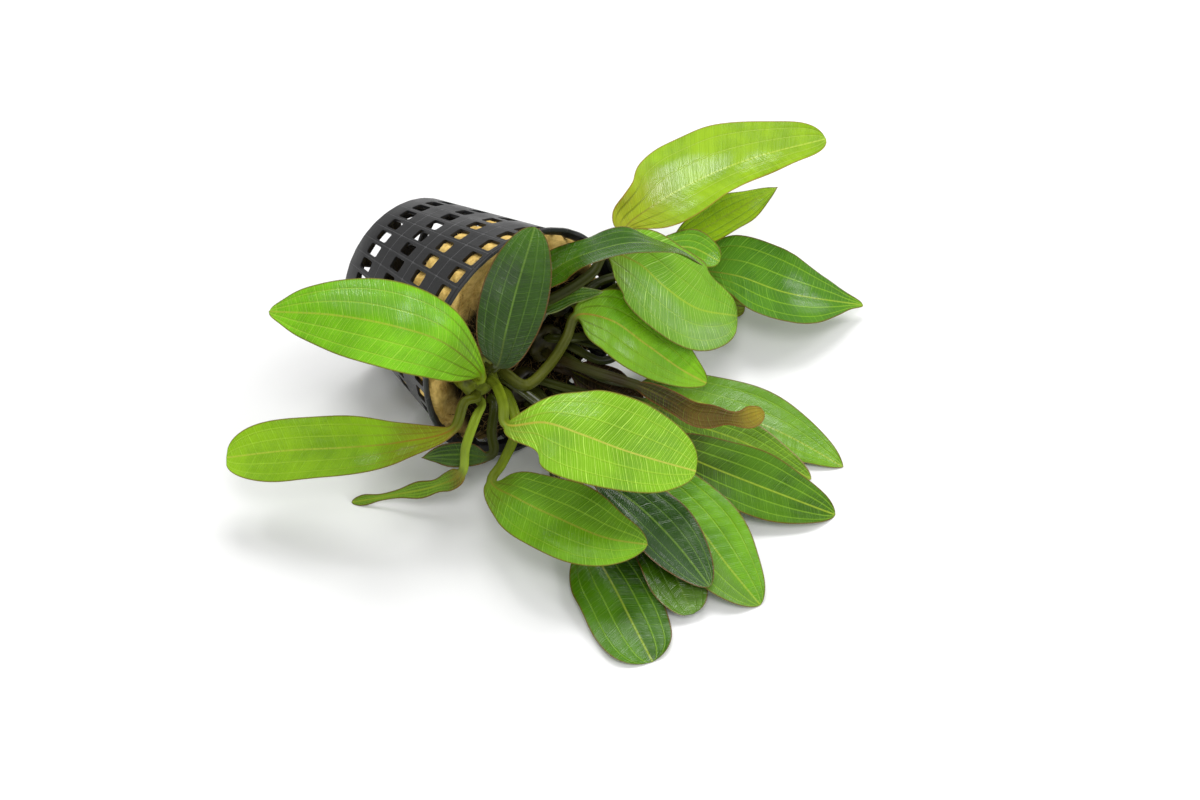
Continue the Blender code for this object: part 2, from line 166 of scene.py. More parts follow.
def addLights():
    world = bpy.data.worlds.new("studio")
    world.use_nodes = True
    background = world.node_tree.nodes["Background"]
    background.inputs["Color"].default_value = (1, 1, 1, 1)
    background.inputs["Strength"].default_value = studio["world"]
    bpy.context.scene.world = world
    for values in studio["lights"]:
        light = bpy.data.lights.new(values["name"], "AREA")
        light.shape = "RECTANGLE"
        light.size, light.size_y = values["size"]
        light.energy = values["power"]
        lamp = bpy.data.objects.new(values["name"], light)
        lamp.location = values["place"]
        lamp.rotation_euler = Vector(values["place"]).to_track_quat("Z", "Y").to_euler()
        bpy.context.scene.collection.objects.link(lamp)
    bpy.context.scene.view_settings.view_transform = "Standard"


pot = {
    "height": 42.0,
    "rimRadius": 27.5,
    "baseRadius": 18.0,
    "wall": 0.8,
    "lipSlope": 1.1,
    "lipStart": 40.2,
    "lipFootRadius": 26.2,
    "heading": 42.2,  # degrees that the mouth is turned from the front towards the right
    "columns": 32,
    "rows": (6.3, 16.8, 26.2, 37.0),
    "windowHeight": 4.0,
    "windowShare": 0.7,
    "cornerRounding": 0.5,
    "slotInner": 7.0,
    "slotOuter": 14.0,
    "slotEvery": 4,
    "edgeRounding": 0.16,
    "scribes": (11.5, 21.5, 31.6),  # mm up the wall
    "colours": ((0.004, 0.004, 0.0045), (0.012, 0.012, 0.013)),
    # Paler along the scribed lines, and a painted highlight along the lip's edge
    "paleScribeAndLipHighlightColour": (0.10, 0.10, 0.105),  # along the scribed lines and the lip
}
potLean = math.atan((pot["rimRadius"] - pot["baseRadius"]) / (pot["lipStart"] + pot["lipSlope"]))
mouthHeight = pot["baseRadius"] * math.cos(potLean) + pot["height"] * math.sin(potLean)


# Z runs along the pot's axis from its base to its mouth, in metres.
def potMatrix():
    turn = Matrix.Rotation(math.radians(pot["heading"]), 4, "Z")
    tip = Matrix.Rotation(math.radians(90) - potLean, 4, "X")
    mouth = Matrix.Translation((mouthPlace + Vector((0, 0, mouthHeight))) * mm)
    return mouth @ turn @ tip @ Matrix.Translation((0, 0, -pot["height"] * mm))


def wallRadius(height):
    return pot["baseRadius"] + (pot["lipFootRadius"] - pot["baseRadius"]) * height / pot["lipStart"]


def around(radius, angle, height):
    return Vector((radius * math.cos(angle), radius * math.sin(angle), height))


def ring(bm, radius, height, angles):
    circle = bmesh.ops.create_circle(bm, segments=len(angles), radius=1)["verts"]
    for vert, angle in zip(circle, angles):
        vert.co = around(radius, angle, height) * mm
    return circle


def ringEdges(bm, circle):
    return [bm.edges.get((a, b)) for a, b in zip(circle, circle[1:] + circle[:1])]


def buildPot():
    pitch = 2 * math.pi / pot["columns"]
    half = pitch * pot["windowShare"] / 2
    middles = [math.pi / 2 + column * pitch for column in range(pot["columns"])]
    angles = [middle + side * half for middle in middles for side in (-1, 1)]
    bm = bmesh.new()
    profile = [(pot["slotInner"], 0, "slot"), (pot["slotOuter"], 0, ""), (pot["baseRadius"], 0, "")]
    for middle in pot["rows"]:
        low = middle - pot["windowHeight"] / 2
        high = middle + pot["windowHeight"] / 2
        profile += [(wallRadius(low), low, "window"), (wallRadius(high), high, "")]
    profile.append((pot["lipFootRadius"], pot["lipStart"], ""))
    profile.append((pot["rimRadius"], pot["lipStart"] + pot["lipSlope"], ""))
    profile.append((pot["rimRadius"], pot["height"], ""))
    circles = [ring(bm, radius, height, angles) for radius, height, _ in profile]
    for low, high in zip(circles, circles[1:]):
        bmesh.ops.bridge_loops(bm, edges=ringEdges(bm, low) + ringEdges(bm, high))
    bm.faces.new(reversed(circles[0]))
    windows, slots = [], []
    count = len(angles)
    for band, (_, _, kind) in enumerate(profile[:-1]):
        low, high = circles[band], circles[band + 1]
        for i in range(count if kind else 0):
            column, part = divmod(i, 2)
            j = (i + 1) % count
            corners = {low[i], low[j], high[j], high[i]}
            face = next(face for face in low[i].link_faces if set(face.verts) == corners)
            if kind == "window" and part == 0:
                windows.append(face)
            if kind == "slot" and column % pot["slotEvery"] != 0:
                slots.append(face)
    bmesh.ops.delete(bm, geom=slots, context="FACES")
    holes = [face.calc_center_median() for face in windows]
    corners = list({vert for face in windows for vert in face.verts})
    bmesh.ops.bevel(bm, geom=corners, offset=pot["cornerRounding"] * mm, offset_type="OFFSET",
                    segments=3, profile=0.5, affect="VERTICES", material=-1)
    near = KDTree(len(bm.faces))
    faces = list(bm.faces)
    for i, face in enumerate(faces):
        near.insert(face.calc_center_median(), i)
    near.balance()
    bmesh.ops.delete(bm, geom=list({faces[near.find(hole)[1]] for hole in holes}), context="FACES")
    bmesh.ops.recalc_face_normals(bm, faces=bm.faces)
    return bm


def finishPot():
    bm = buildPot()
    sheet = bm.loops.layers.uv.new("wall")
    bmesh.ops.solidify(bm, geom=bm.faces, thickness=pot["wall"] * mm)
    for face in bm.faces:
        for loop in face.loops:
            place = loop.vert.co / mm
            loop[sheet].uv = (math.atan2(place.y, place.x) * pot["columns"] / (2 * math.pi), place.z)
    bm.transform(potMatrix())
    piece = addPiece("pot_lattice", bm, plasticMaterial(), ["net_pot"])
    rounding = piece.modifiers.new("edges", "BEVEL")
    rounding.width = pot["edgeRounding"] * mm
    rounding.segments = 2
    rounding.limit_method = "ANGLE"
    rounding.angle_limit = math.radians(35)


def plasticMaterial():
    material, shader = makeMaterial("satinBlackPlastic", Specular_IOR_Level=0.4)
    place = addNode(material, "TexCoord").outputs["Object"]
    grain = noiseOf(material, place, 1400, 3)
    cloud = noiseOf(material, place, 90, 4)
    wallPlace = addNode(material, "UVMap", uv_map="wall").outputs[0]
    parts = addNode(material, "SeparateXYZ", {0: wallPlace})
    column = calc(material, "PINGPONG", parts.outputs[0], 0.5)
    upLine = between(material, column, 0.465, 0.485)
    rounds = [calc(material, "ABSOLUTE", minus(material, parts.outputs[1], height))
              for height in pot["scribes"]]
    nearest = calc(material, "MINIMUM", calc(material, "MINIMUM", rounds[0], rounds[1]), rounds[2])
    roundLine = between(material, nearest, 0.06, 0.16, 1.0, 0.0)
    scribe = calc(material, "MAXIMUM", upLine, roundLine)
    nearUp = between(material, column, 0.40, 0.45)
    nearRound = between(material, nearest, 0.3, 0.6, 1.0, 0.0)
    cross = times(material, nearUp, nearRound, scribe)
    # A painted highlight along the top edge of the lip, mixed with the paler scribed lines
    lip = between(material, parts.outputs[1], pot["height"] - 0.35, pot["height"] - 0.1)
    tone = mixColour(material, cloud, *pot["colours"])
    paleScribeAndLipHighlight = calc(material, "ADD", times(material, scribe, 0.3), times(material, cross, 0.4), clamp=True)
    paleScribeAndLipHighlight = calc(material, "MAXIMUM", paleScribeAndLipHighlight, times(material, lip, 0.15))
    tone = mixColour(material, paleScribeAndLipHighlight, tone, pot["paleScribeAndLipHighlightColour"])
    connect(material, tone, shader.inputs["Base Color"])
    height = plus(material, times(material, grain, 0.35), scribe)
    bump = addNode(material, "Bump", {"Height": height, "Distance": 0.00012, "Strength": 0.6})
    connect(material, bump.outputs[0], shader.inputs["Normal"])
    connect(material, between(material, cloud, 0.2, 0.8, 0.3, 0.55), shader.inputs["Roughness"])
    return material


wool = {
    "foot": 23.0,
    "face": 35.5,
    "rim": 39.0,  # it stands this high along the wall
    "dishRadius": 14.0,  # and slopes up to there from this radius
    "clearance": 0.12,
    "lump": 0.9,  # mm that its surface is uneven by
    "lumpSizes": (0.35, 0.9),
    "swell": 0.55,  # mm that it swells into the windows
    "swellMargin": 0.3,
    "swellRise": 0.5,  # mm from the margin to its full height
    "edge": 1.5,  # mm that its foot is rounded by
    "rimEdge": 1.2,
    "cuts": (14, 2, 26, 2, 7, 10),
    "steps": 256,
    "fibres": 2200,
    "roots": 900,
    "fibreRadius": 0.045,
    "rootThickness": 2.2,  # times a fibre's
    "fibreLength": (3.0, 8.0),
    "shareOnFace": 0.3,
    "rootAndShadeCentre": (4.0, -9.0),  # where its face is darkened, in the pot's frame: painted shade under the crowns, where old roots also lie
    "rootAndShadeReach": (20.0, 26.0),
    "plugColours": ((0.48, 0.30, 0.07), (0.88, 0.62, 0.2), (0.012, 0.008, 0.003)),  # dark, light, old: the last is near-black painted shade on the face, where old roots lie
    # The third fibre colour is painted shade on the plug's face; the third root colour is the roots'
    # own darkest tone
    "fibreColours": ((0.55, 0.36, 0.1), (0.92, 0.68, 0.28), (0.05, 0.03, 0.01)),
    "rootColours": ((0.2, 0.13, 0.045), (0.34, 0.23, 0.08), (0.02, 0.011, 0.004)),
}


# How dark the plug is at a point of the pot's frame: painted shade on its face under the crowns, where
# old roots and sheaths also lie
def shadeAndRootsAt(point):
    near, far = wool["rootAndShadeReach"]
    away = (point.xy - Vector(wool["rootAndShadeCentre"])).length + 1.5 * noise.noise(point * 0.3)
    deep = min(max((point.z - wool["face"] + 1.5) / 1.2, 0), 1)
    return deep * min(max((far - away) / (far - near), 0), 1)


def woolMaterial(name, dark, light, old):
    material, shader = makeMaterial(name, Roughness=0.95, Specular_IOR_Level=0.15)
    place = addNode(material, "TexCoord").outputs["Object"]
    cloud = noiseOf(material, place, 160, 4)
    speck = noiseOf(material, place, 900, 4)
    blend = plus(material, times(material, cloud, 0.6), times(material, speck, 0.4))
    tone = mixColour(material, between(material, blend, 0.36, 0.62), dark, light)
    # The third colour goes where the "dark" attribute is high: painted shade on the plug and its
    # fibres, and the roots' own darker tone
    rootToneAndShade = addNode(material, "Attribute", attribute_name="dark").outputs["Fac"]
    tone = mixColour(material, rootToneAndShade, tone, old)
    connect(material, tone, shader.inputs["Base Color"])
    bump = addNode(material, "Bump", {"Height": blend, "Distance": 0.0006, "Strength": 0.9})
    connect(material, bump.outputs[0], shader.inputs["Normal"])
    return material


def plugRadius(height):
    return wallRadius(height) - pot["wall"] - wool["clearance"]


def faceHeight(radius):
    width = plugRadius(wool["rim"]) - wool["rimEdge"] - wool["dishRadius"]
    share = min(max((radius - wool["dishRadius"]) / width, 0), 1)
    return wool["face"] + (wool["rim"] - wool["face"]) * share


# How far the wool swells out at a point of its side: only in the middle of a window
def windowSwell(angle, height):
    column = angle / (2 * math.pi) * pot["columns"]
    aside = abs(column - round(column)) * 2 * math.pi * wallRadius(height) / pot["columns"]
    openHalf = math.pi * wallRadius(height) / pot["columns"] * pot["windowShare"]
    up = min(abs(height - row) for row in pot["rows"])
    inside = min(openHalf - aside, pot["windowHeight"] / 2 - up) - wool["swellMargin"]
    return wool["swell"] * min(max(inside / wool["swellRise"], 0), 1)


def buildPlug():
    bm = bmesh.new()
    low, high = wool["foot"], wool["rim"]
    edge, rimEdge = wool["edge"], wool["rimEdge"]
    corners = [(0, low), (plugRadius(low) - edge, low), (plugRadius(low + edge), low + edge),
               (plugRadius(high - rimEdge), high - rimEdge), (plugRadius(high) - rimEdge, high),
               (wool["dishRadius"], wool["face"]), (0, wool["face"])]
    verts = [bm.verts.new(Vector((radius, 0, height)) * mm) for radius, height in corners]
    edges = [bm.edges.new(pair) for pair in zip(verts, verts[1:])]
    for edge, count in zip(edges, wool["cuts"]):
        bmesh.ops.subdivide_edges(bm, edges=[edge], cuts=count)
    bmesh.ops.spin(bm, geom=list(bm.verts) + list(bm.edges), cent=(0, 0, 0), axis=(0, 0, 1),
                   angle=2 * math.pi, steps=wool["steps"], use_merge=True)
    bmesh.ops.remove_doubles(bm, verts=bm.verts, dist=0.01 * mm)
    bmesh.ops.recalc_face_normals(bm, faces=bm.faces)
    dark = bm.verts.layers.float.new("dark")
    for vert in bm.verts:
        point = vert.co / mm
        broad, small = (noise.noise(point * scale) for scale in wool["lumpSizes"])
        lump = broad + 0.5 * small
        inward = min(0.0, lump - 0.35) * wool["lump"]
        if point.xy.length > plugRadius(point.z) - 0.3:
            inward = 0.4 * inward + windowSwell(math.atan2(point.y, point.x), point.z)
        vert.co += vert.normal * inward * mm
        vert[dark] = shadeAndRootsAt(point)
    bm.transform(potMatrix())
    material = woolMaterial("dampRockWool", *wool["plugColours"])
    addPiece("wool_plug", bm, material, ["rock_wool_plug"])


# Where a fibre starts, the way it lies and how long it is, in the pot's own frame in millimetres
def fibreLie(rng, isRoot):
    angle = rng.uniform(0, 2 * math.pi)
    length = rng.uniform(*wool["fibreLength"])
    if isRoot:
        radius = wool["rootAndShadeReach"][1] * 0.8 * math.sqrt(rng.random())
        start = Vector((*wool["rootAndShadeCentre"], 0)) + around(radius, angle, 0)
        start *= min(1, (plugRadius(wool["face"]) - 2) / start.length)
        start.z = faceHeight(start.xy.length) + rng.uniform(0, 1.2)
        out = Vector((0, 0, 1))
    elif rng.random() < wool["shareOnFace"]:
        radius = (plugRadius(wool["face"]) - 2.2) * math.sqrt(rng.random())
        start = around(radius, angle, faceHeight(radius) - 0.1)
        out = Vector((0, 0, 1))
    else:
        height = rng.uniform(wool["foot"] + 1, wool["rim"] - 2)
        radius = plugRadius(height) - 0.15
        start = around(radius, angle, height)
        out = around(1, angle, 0)
    heading = Vector((rng.gauss(0, 1), rng.gauss(0, 1), rng.gauss(0, 1)))
    direction = (heading - heading.dot(out) * out * (0.8 if isRoot else 0.97)).normalized()
    end = start + direction * length
    highest = wool["rim"] + (0.5 if isRoot else 0.3)
    if end.xy.length > plugRadius(end.z) - 0.1 or not wool["foot"] < end.z < highest:
        length *= 0.3
    side = direction.cross(out).normalized().cross(direction)
    return start, direction, side, length, rng.uniform(-0.08, 0.1) * length


def buildFibres(name, count, isRoot, material):
    rng = random.Random(count)
    apart = 10
    bm = bmesh.new()
    lies = [fibreLie(rng, isRoot) for _ in range(count)]
    radius = wool["fibreRadius"] * (wool["rootThickness"] if isRoot else 1)
    for i in range(count):
        bmesh.ops.create_cone(bm, cap_ends=True, segments=3, radius1=radius, radius2=radius * 0.6,
                              depth=1, matrix=Matrix.Translation((0, 0, i * apart)))
    lengthwise = [edge for edge in bm.edges if abs(edge.verts[0].co.z - edge.verts[1].co.z) > 0.5]
    bmesh.ops.subdivide_edges(bm, edges=lengthwise, cuts=3, use_grid_fill=True)
    dark = bm.verts.layers.float.new("dark")
    for vert in bm.verts:
        i = round(vert.co.z / apart)
        start, direction, side, length, bend = lies[i]
        along = vert.co.z - i * apart + 0.5
        lift = bend * math.sin(along * math.pi)
        across = side * (vert.co.x + lift) + direction.cross(side) * vert.co.y
        point = start + direction * along * length + across
        # Roots take a darker tone at random; wool fibres take the painted shade of the plug's face
        vert[dark] = 0.55 + 0.45 * math.sin(i) if isRoot else shadeAndRootsAt(point)
        vert.co = point * mm
    bm.transform(potMatrix())
    addPiece(name, bm, material, [])


crowns = {
    "left": {"top": (-12.0, -1.0, 43.0), "radius": 6.2},
    "upper": {"top": (5.0, 6.5, 40.0), "radius": 4.2},
    "right": {"top": (8.0, -7.0, 40.0), "radius": 5.0},
    "front": {"top": (0.0, -14.0, 40.0), "radius": 4.6},
    "back": {"top": (14.0, 1.0, 40.0), "radius": 3.8},
}
crownLook = {
    "ridges": 7,
    "ridgeDepth": 0.07,
    "waist": 0.84,
    "squareness": 0.55,  # 1 is an egg, and less has steeper sides
    "fresh": ((0.06, 0.06, 0.006), (0.22, 0.27, 0.02)),
    "old": ((0.012, 0.009, 0.003), (0.05, 0.045, 0.008)),
}


def crownMaterial(name, dark, light):
    material, shader = makeMaterial("crownFlesh_" + name, Roughness=0.4, Specular_IOR_Level=0.3)
    place = addNode(material, "TexCoord").outputs["Object"]
    cloud = noiseOf(material, place, 260, 4)
    tone = mixColour(material, between(material, cloud, 0.35, 0.65), dark, light)
    connect(material, tone, shader.inputs["Base Color"])
    bump = addNode(material, "Bump", {"Height": cloud, "Distance": 0.0004, "Strength": 0.7})
    connect(material, bump.outputs[0], shader.inputs["Normal"])
    return material


def buildCrowns():
    for name, crown in crowns.items():
        material = crownMaterial(name, *(crownLook["fresh"] if name == "left" else crownLook["old"]))
        x, y, top = crown["top"]
        foot = wool["face"] - 0.3
        bm = bmesh.new()
        bmesh.ops.create_uvsphere(bm, u_segments=42, v_segments=24, radius=1)
        for vert in bm.verts:
            up = vert.co.z
            angle = math.atan2(vert.co.y, vert.co.x)
            bulge = crownLook["waist"] + (1 - crownLook["waist"]) * max(up, 0)
            ridge = 1 + crownLook["ridgeDepth"] * abs(math.sin(angle * crownLook["ridges"] / 2 + up))
            spread = crown["radius"] * bulge * ridge * vert.co.xy.length ** crownLook["squareness"]
            height = foot + (top - foot) * (0.5 + 0.5 * up)
            vert.co = (Vector((x, y, 0)) + around(spread, angle, height)) * mm
        bm.transform(potMatrix())
        addPiece("crown_flesh_" + name, bm, material, ["crown_" + name])


leafMesh = {
    "around": 56,
    "stalkSpacing": 0.9,  # mm between sections of the stalk
    "bladeSpacing": 0.75,
    "stalkRadius": 1.15,
    "stalkFlatness": 0.78,
    "bladeThickness": 0.6,
    "rise": 2.6,
    "spread": 1.1,
    "curveSteps": 12,
    "outlineReach": 8.0,
    "channel": 0.55,  # mm that the stalk is hollowed along its upper side
    "cupCurve": 1.6,
    "bladeThinning": 0.5,  # share of its thickness that a blade loses towards its tip
    "stalkFade": 0.8,
    "stalkSink": 3,
    "channelFade": 6,
    "stalkShoulder": 0.3,
    "broadFrom": 4,  # mm of half width from which waves and veins have their full height
    "waveShift": 1.7,  # turn between the waves of the two margins
    "bunching": 0.1,  # sections lie closer together near both ends
    "veins": ((0, 0.9), (0.36, 0.6), (0.7, 0.5)),  # share across, and mm that each is sunk over
}

veinLook = {
    "slope": 0.45,  # mm that a cross vein leans towards the tip for each mm outward
    "drift": 0.7,
    "coarseEvery": 0.55,  # half the mm from one bright cross vein to the next
    "fineEvery": 0.183,
    "midrib": (0.0, 0.06, 0.32),  # share across, and mm where it starts and ends to fade
    "long": ((0.38, 0.07, 0.26), (0.73, 0.05, 0.22)),
}

leafLook = {
    "lamina": (0.1, 0.26, 0.002),
    "lamina2": (0.16, 0.38, 0.004),
    "ladder": (0.3, 0.58, 0.05),
    "ladderShare": 0.55,
    "vein": (0.28, 0.5, 0.03),
    "veinBase": (0.1, 0.12, 0.006),
    "veinReach": 0.3,  # share of the blade from its base where its veins are as dark as that
    "veinShare": 0.5,
    "midrib": (0.32, 0.46, 0.03),
    "midribBase": (0.22, 0.2, 0.015),
    "midribShare": 0.8,
    "base": (0.12, 0.13, 0.005),
    "baseReach": 0.22,
    "baseShare": 0.5,
    "half": (0.05, 0.13, 0.002),
    "halfSide": -1,  # -1 left of the midrib, 1 right of it
    "halfShare": 0.0,
    "tip": (0.2, 0.4, 0.01),
    "tipFrom": 0.6,
    "tipShare": 0.0,
    "margin": (0.16, 0.055, 0.012),
    "marginShare": 0.75,
    "stalk": (0.2, 0.27, 0.012),
    "stalkSpeck": (0.05, 0.06, 0.006),
    "under": (0.14, 0.22, 0.02),
    "roughness": (0.3, 0.45),
    "specular": 0.16,
    "wet": 0.0,
    "films": (),  # place across and along, reach across and along, and weight of each wet patch
}


def leaf(name, crown, foot, stalk, blade, faces, slot="leaf_green", **more):
    shape = {
        "name": name,
        "crown": crown,
        "foot": foot,
        "stalk": stalk,
        "blade": blade,
        "width": 0,
        "outline": (),
        "faces": faces,
        "tipFaces": faces,
        "widest": 0.5,
        "fullness": 1.25,
        "slot": slot,
        "wave": 0.5,  # mm that the margins rise and fall
        "waves": 2.2,
        "phase": 0.0,
        "cup": 0.1,
        "quilt": 0.16,  # mm that the long veins are sunk by
        "curls": (),  # share of the length, spread, side and height in mm of each bend of the margin
    }
    shape.update(more)
    return shape


# Stalks of the back and right crowns are old and dark, and those of the left crown are fresh.
darkStalk = {"stalk": (0.035, 0.042, 0.006)}
lime = {"ladder": (0.4, 0.7, 0.06), "vein": (0.36, 0.6, 0.04), "midrib": (0.4, 0.5, 0.04)}
deep = {**darkStalk, "lamina": (0.026, 0.078, 0.001), "lamina2": (0.05, 0.13, 0.002),
        "ladder": (0.1, 0.22, 0.02), "vein": (0.13, 0.26, 0.03), "veinBase": (0.05, 0.08, 0.008),
        "midrib": (0.15, 0.28, 0.03), "midribBase": (0.08, 0.12, 0.01), "base": (0.012, 0.03, 0.002),
        "ladderShare": 0.45, "roughness": (0.14, 0.3), "under": (0.04, 0.08, 0.01), "wet": 0.5}
middle = {"ladder": (0.24, 0.48, 0.04), "vein": (0.26, 0.48, 0.03), "midrib": (0.32, 0.44, 0.03)}
olive = {**darkStalk, "lamina": (0.12, 0.12, 0.006), "lamina2": (0.22, 0.22, 0.012),
         "margin": (0.2, 0.08, 0.02), "vein": (0.14, 0.09, 0.01), "midrib": (0.15, 0.09, 0.01),
         "ladderShare": 0.15}
looks = {
    "left_upper": {**lime, "veinBase": (0.07, 0.07, 0.005), "veinReach": 0.5,
        "midribBase": (0.1, 0.08, 0.006), "base": (0.13, 0.19, 0.004), "baseReach": 0.3,
        "midribShare": 0.7, "films": ((0.55, 0.55, 0.45, 0.32, 0.9), (0.3, 0.12, 0.3, 0.1, 0.4)),
        "lamina": (0.125, 0.37, 0.002), "lamina2": (0.185, 0.52, 0.004)},
    "left_lower": {**lime, "lamina": (0.165, 0.34, 0.002), "lamina2": (0.24, 0.46, 0.004),
        "ladderShare": 0.25, "veinBase": (0.2, 0.14, 0.008), "veinReach": 0.6,
        "midribBase": (0.28, 0.12, 0.01), "base": (0.2, 0.13, 0.005), "baseReach": 0.4,
        "baseShare": 0.75, "stalk": (0.1, 0.12, 0.008),
        "films": ((-0.45, 0.2, 0.25, 0.05, 1), (-0.5, 0.36, 0.3, 0.06, 0.5))},
    "left_curled": {**middle, "lamina": (0.1, 0.19, 0.01), "lamina2": (0.17, 0.3, 0.02),
        "base": (0.24, 0.11, 0.02), "baseReach": 0.2, "baseShare": 0.7, "under": (0.16, 0.2, 0.05),
        "stalk": (0.3, 0.42, 0.03)},
    "left_low": {**deep, "lamina": (0.03, 0.07, 0.012), "lamina2": (0.06, 0.12, 0.022), "wet": 0.1},
    "upright": {**deep, "baseReach": 0.6, "baseShare": 0.8, "tip": (0.07, 0.2, 0.003), "tipFrom": 0.6,
        "tipShare": 0.6, "veinShare": 0.4,
        "films": ((-0.45, 0.62, 0.5, 0.3, 0.8), (0.0, 0.3, 0.6, 0.12, 0.2)),
        "lamina": (0.014, 0.05, 0.001), "lamina2": (0.03, 0.095, 0.001)},
    "front_large": {**lime, "ladder": (0.55, 0.85, 0.12), "ladderShare": 0.75,
        "midrib": (0.55, 0.55, 0.08), "midribBase": (0.5, 0.4, 0.05), "veinBase": (0.3, 0.36, 0.03),
        "films": ((-0.6, 0.3, 0.4, 0.16, 1), (0.55, 0.25, 0.3, 0.06, 0.4)),
        "lamina": (0.13, 0.32, 0.002), "lamina2": (0.19, 0.43, 0.004)},
    "front_low": {"halfShare": 0.6, "midrib": (0.3, 0.34, 0.03), "veinReach": 0.2,
        "films": ((0.5, 0.62, 0.4, 0.2, 0.4),)},
    # right_long: its pale grey half is a painted sheen
    "right_long": {"lamina": (0.15, 0.42, 0.001), "lamina2": (0.23, 0.56, 0.003),
        "midrib": (0.5, 0.5, 0.05), "midribBase": (0.42, 0.24, 0.03), "half": (0.3, 0.45, 0.06),
        "halfSide": 1, "halfShare": 0.25, "stalk": (0.09, 0.1, 0.008),
        "films": ((0.6, 0.12, 0.6, 0.14, 1), (0.5, 0.4, 0.4, 0.1, 0.6))},
    # front_right: its grey half is a painted sheen
    "front_right": {**deep, "half": (0.06, 0.11, 0.05), "halfSide": 1, "halfShare": 0.5,
        "films": ((0.5, 0.3, 0.6, 0.25, 0.6),), "lamina": (0.011, 0.05, 0.001),
        "lamina2": (0.025, 0.09, 0.001), "ladderShare": 0.2},
    "arched": {**deep, "lamina": (0.025, 0.09, 0.001), "lamina2": (0.045, 0.14, 0.002),
        "ladderShare": 0.15, "wet": 0.2, "base": (0.05, 0.11, 0.01), "under": (0.03, 0.09, 0.012)},
    # right_broad: its grey-green half is a painted sheen
    "right_broad": {**darkStalk, "lamina": (0.11, 0.31, 0.002), "lamina2": (0.17, 0.42, 0.004),
        "ladder": (0.42, 0.68, 0.12), "ladderShare": 0.85, "midrib": (0.36, 0.52, 0.03),
        "half": (0.1, 0.22, 0.03), "halfSide": 1, "halfShare": 0.35,
        "films": ((0.45, 0.3, 0.5, 0.3, 1), (0.6, 0.7, 0.4, 0.25, 1))},
    "young": {**deep, "lamina": (0.03, 0.09, 0.002), "lamina2": (0.05, 0.14, 0.003),
        "margin": (0.25, 0.3, 0.08)},
    "right_small": {**darkStalk, "lamina": (0.08, 0.23, 0.002), "lamina2": (0.12, 0.32, 0.004),
        "ladderShare": 0.3, "films": ((0.2, 0.9, 0.8, 0.12, 1),)},
    "back_large": {**darkStalk, "lamina": (0.2, 0.36, 0.003), "lamina2": (0.3, 0.5, 0.006),
        "ladderShare": 0.3, "vein": (0.42, 0.6, 0.08), "midrib": (0.46, 0.6, 0.06),
        "base": (0.42, 0.3, 0.02), "baseReach": 0.35, "margin": (0.3, 0.15, 0.02),
        "stalk": (0.2, 0.25, 0.012),
        "films": ((-0.15, 0.36, 0.5, 0.24, 1), (0.3, 0.68, 0.5, 0.12, 0.8),
                  (0.5, 0.3, 0.35, 0.1, 0.8))},
    "back_under": {**darkStalk, "lamina": (0.28, 0.48, 0.004), "lamina2": (0.38, 0.6, 0.008),
        "ladderShare": 0.3, "films": ((0.4, 0.75, 0.4, 0.1, 1),)},
    "right_back": {**darkStalk, "lamina": (0.04, 0.15, 0.001), "lamina2": (0.07, 0.22, 0.002),
        "ladderShare": 0.35, "vein": (0.3, 0.55, 0.03),
        "films": ((0.25, 0.66, 0.45, 0.14, 1), (-0.3, 0.58, 0.3, 0.1, 0.7))},
    "right_hidden": olive,
    "right_under": {**olive, "lamina": (0.18, 0.27, 0.005), "lamina2": (0.25, 0.34, 0.01)},
    "right_curled": {**olive, "lamina": (0.06, 0.035, 0.006), "lamina2": (0.12, 0.07, 0.01),
        "veinShare": 0.2, "midribShare": 0.3, "base": (0.03, 0.02, 0.006), "baseReach": 0.6,
        "baseShare": 0.95, "tip": (0.38, 0.29, 0.02), "tipFrom": 0.7, "tipShare": 0.8,
        "stalk": (0.03, 0.022, 0.006), "under": (0.12, 0.08, 0.02)},
    "right_top": {**darkStalk, **middle, "lamina": (0.11, 0.27, 0.006), "lamina2": (0.17, 0.37, 0.015),
        "wet": 0.3, "films": ((-0.25, 0.5, 0.5, 0.26, 0.9),), "ladderShare": 0.2},
    "old_brown": {"lamina": (0.016, 0.009, 0.003), "lamina2": (0.045, 0.022, 0.007),
        "ladder": (0.16, 0.09, 0.04), "vein": (0.1, 0.05, 0.02), "midrib": (0.1, 0.05, 0.02),
        "stalk": (0.03, 0.018, 0.006), "base": (0.012, 0.008, 0.003), "under": (0.03, 0.016, 0.006),
        "margin": (0.12, 0.04, 0.02), "ladderShare": 0.6},
    "right_middle": {**darkStalk, "lamina": (0.08, 0.18, 0.003), "lamina2": (0.14, 0.28, 0.006),
        "base": (0.05, 0.05, 0.004), "baseReach": 0.4, "margin": (0.36, 0.2, 0.12)},
    "right_bottom": {**darkStalk, **middle, "lamina": (0.035, 0.105, 0.001),
        "lamina2": (0.07, 0.19, 0.002), "base": (0.035, 0.04, 0.003), "baseReach": 0.55,
        "baseShare": 0.8, "ladderShare": 0.25},
    # front_outer: its grey-green half is a painted sheen
    "front_outer": {**darkStalk, "lamina": (0.085, 0.25, 0.002), "lamina2": (0.15, 0.38, 0.003),
        "half": (0.1, 0.19, 0.03), "halfSide": 1, "halfShare": 0.6, "ladderShare": 0.15, "wet": 0.3,
        "films": ((0.3, 0.6, 0.45, 0.3, 0.5),)},
    # front_wet: its pale tip is a painted sheen
    "front_wet": {**deep, "tip": (0.14, 0.3, 0.02), "tipFrom": 0.5, "tipShare": 0.6, "wet": 0.8,
        "films": ((0.0, 0.72, 0.8, 0.16, 1),)},
    # front_bottom: its paler half is a painted sheen
    "front_bottom": {**darkStalk, **middle, "lamina": (0.025, 0.085, 0.001),
        "lamina2": (0.045, 0.145, 0.002), "half": (0.1, 0.28, 0.003), "halfSide": 1, "halfShare": 0.45,
        "wet": 0.4, "roughness": (0.18, 0.34), "films": ((0.0, 0.45, 0.7, 0.14, 0.7),),
        "ladderShare": 0.2},
}


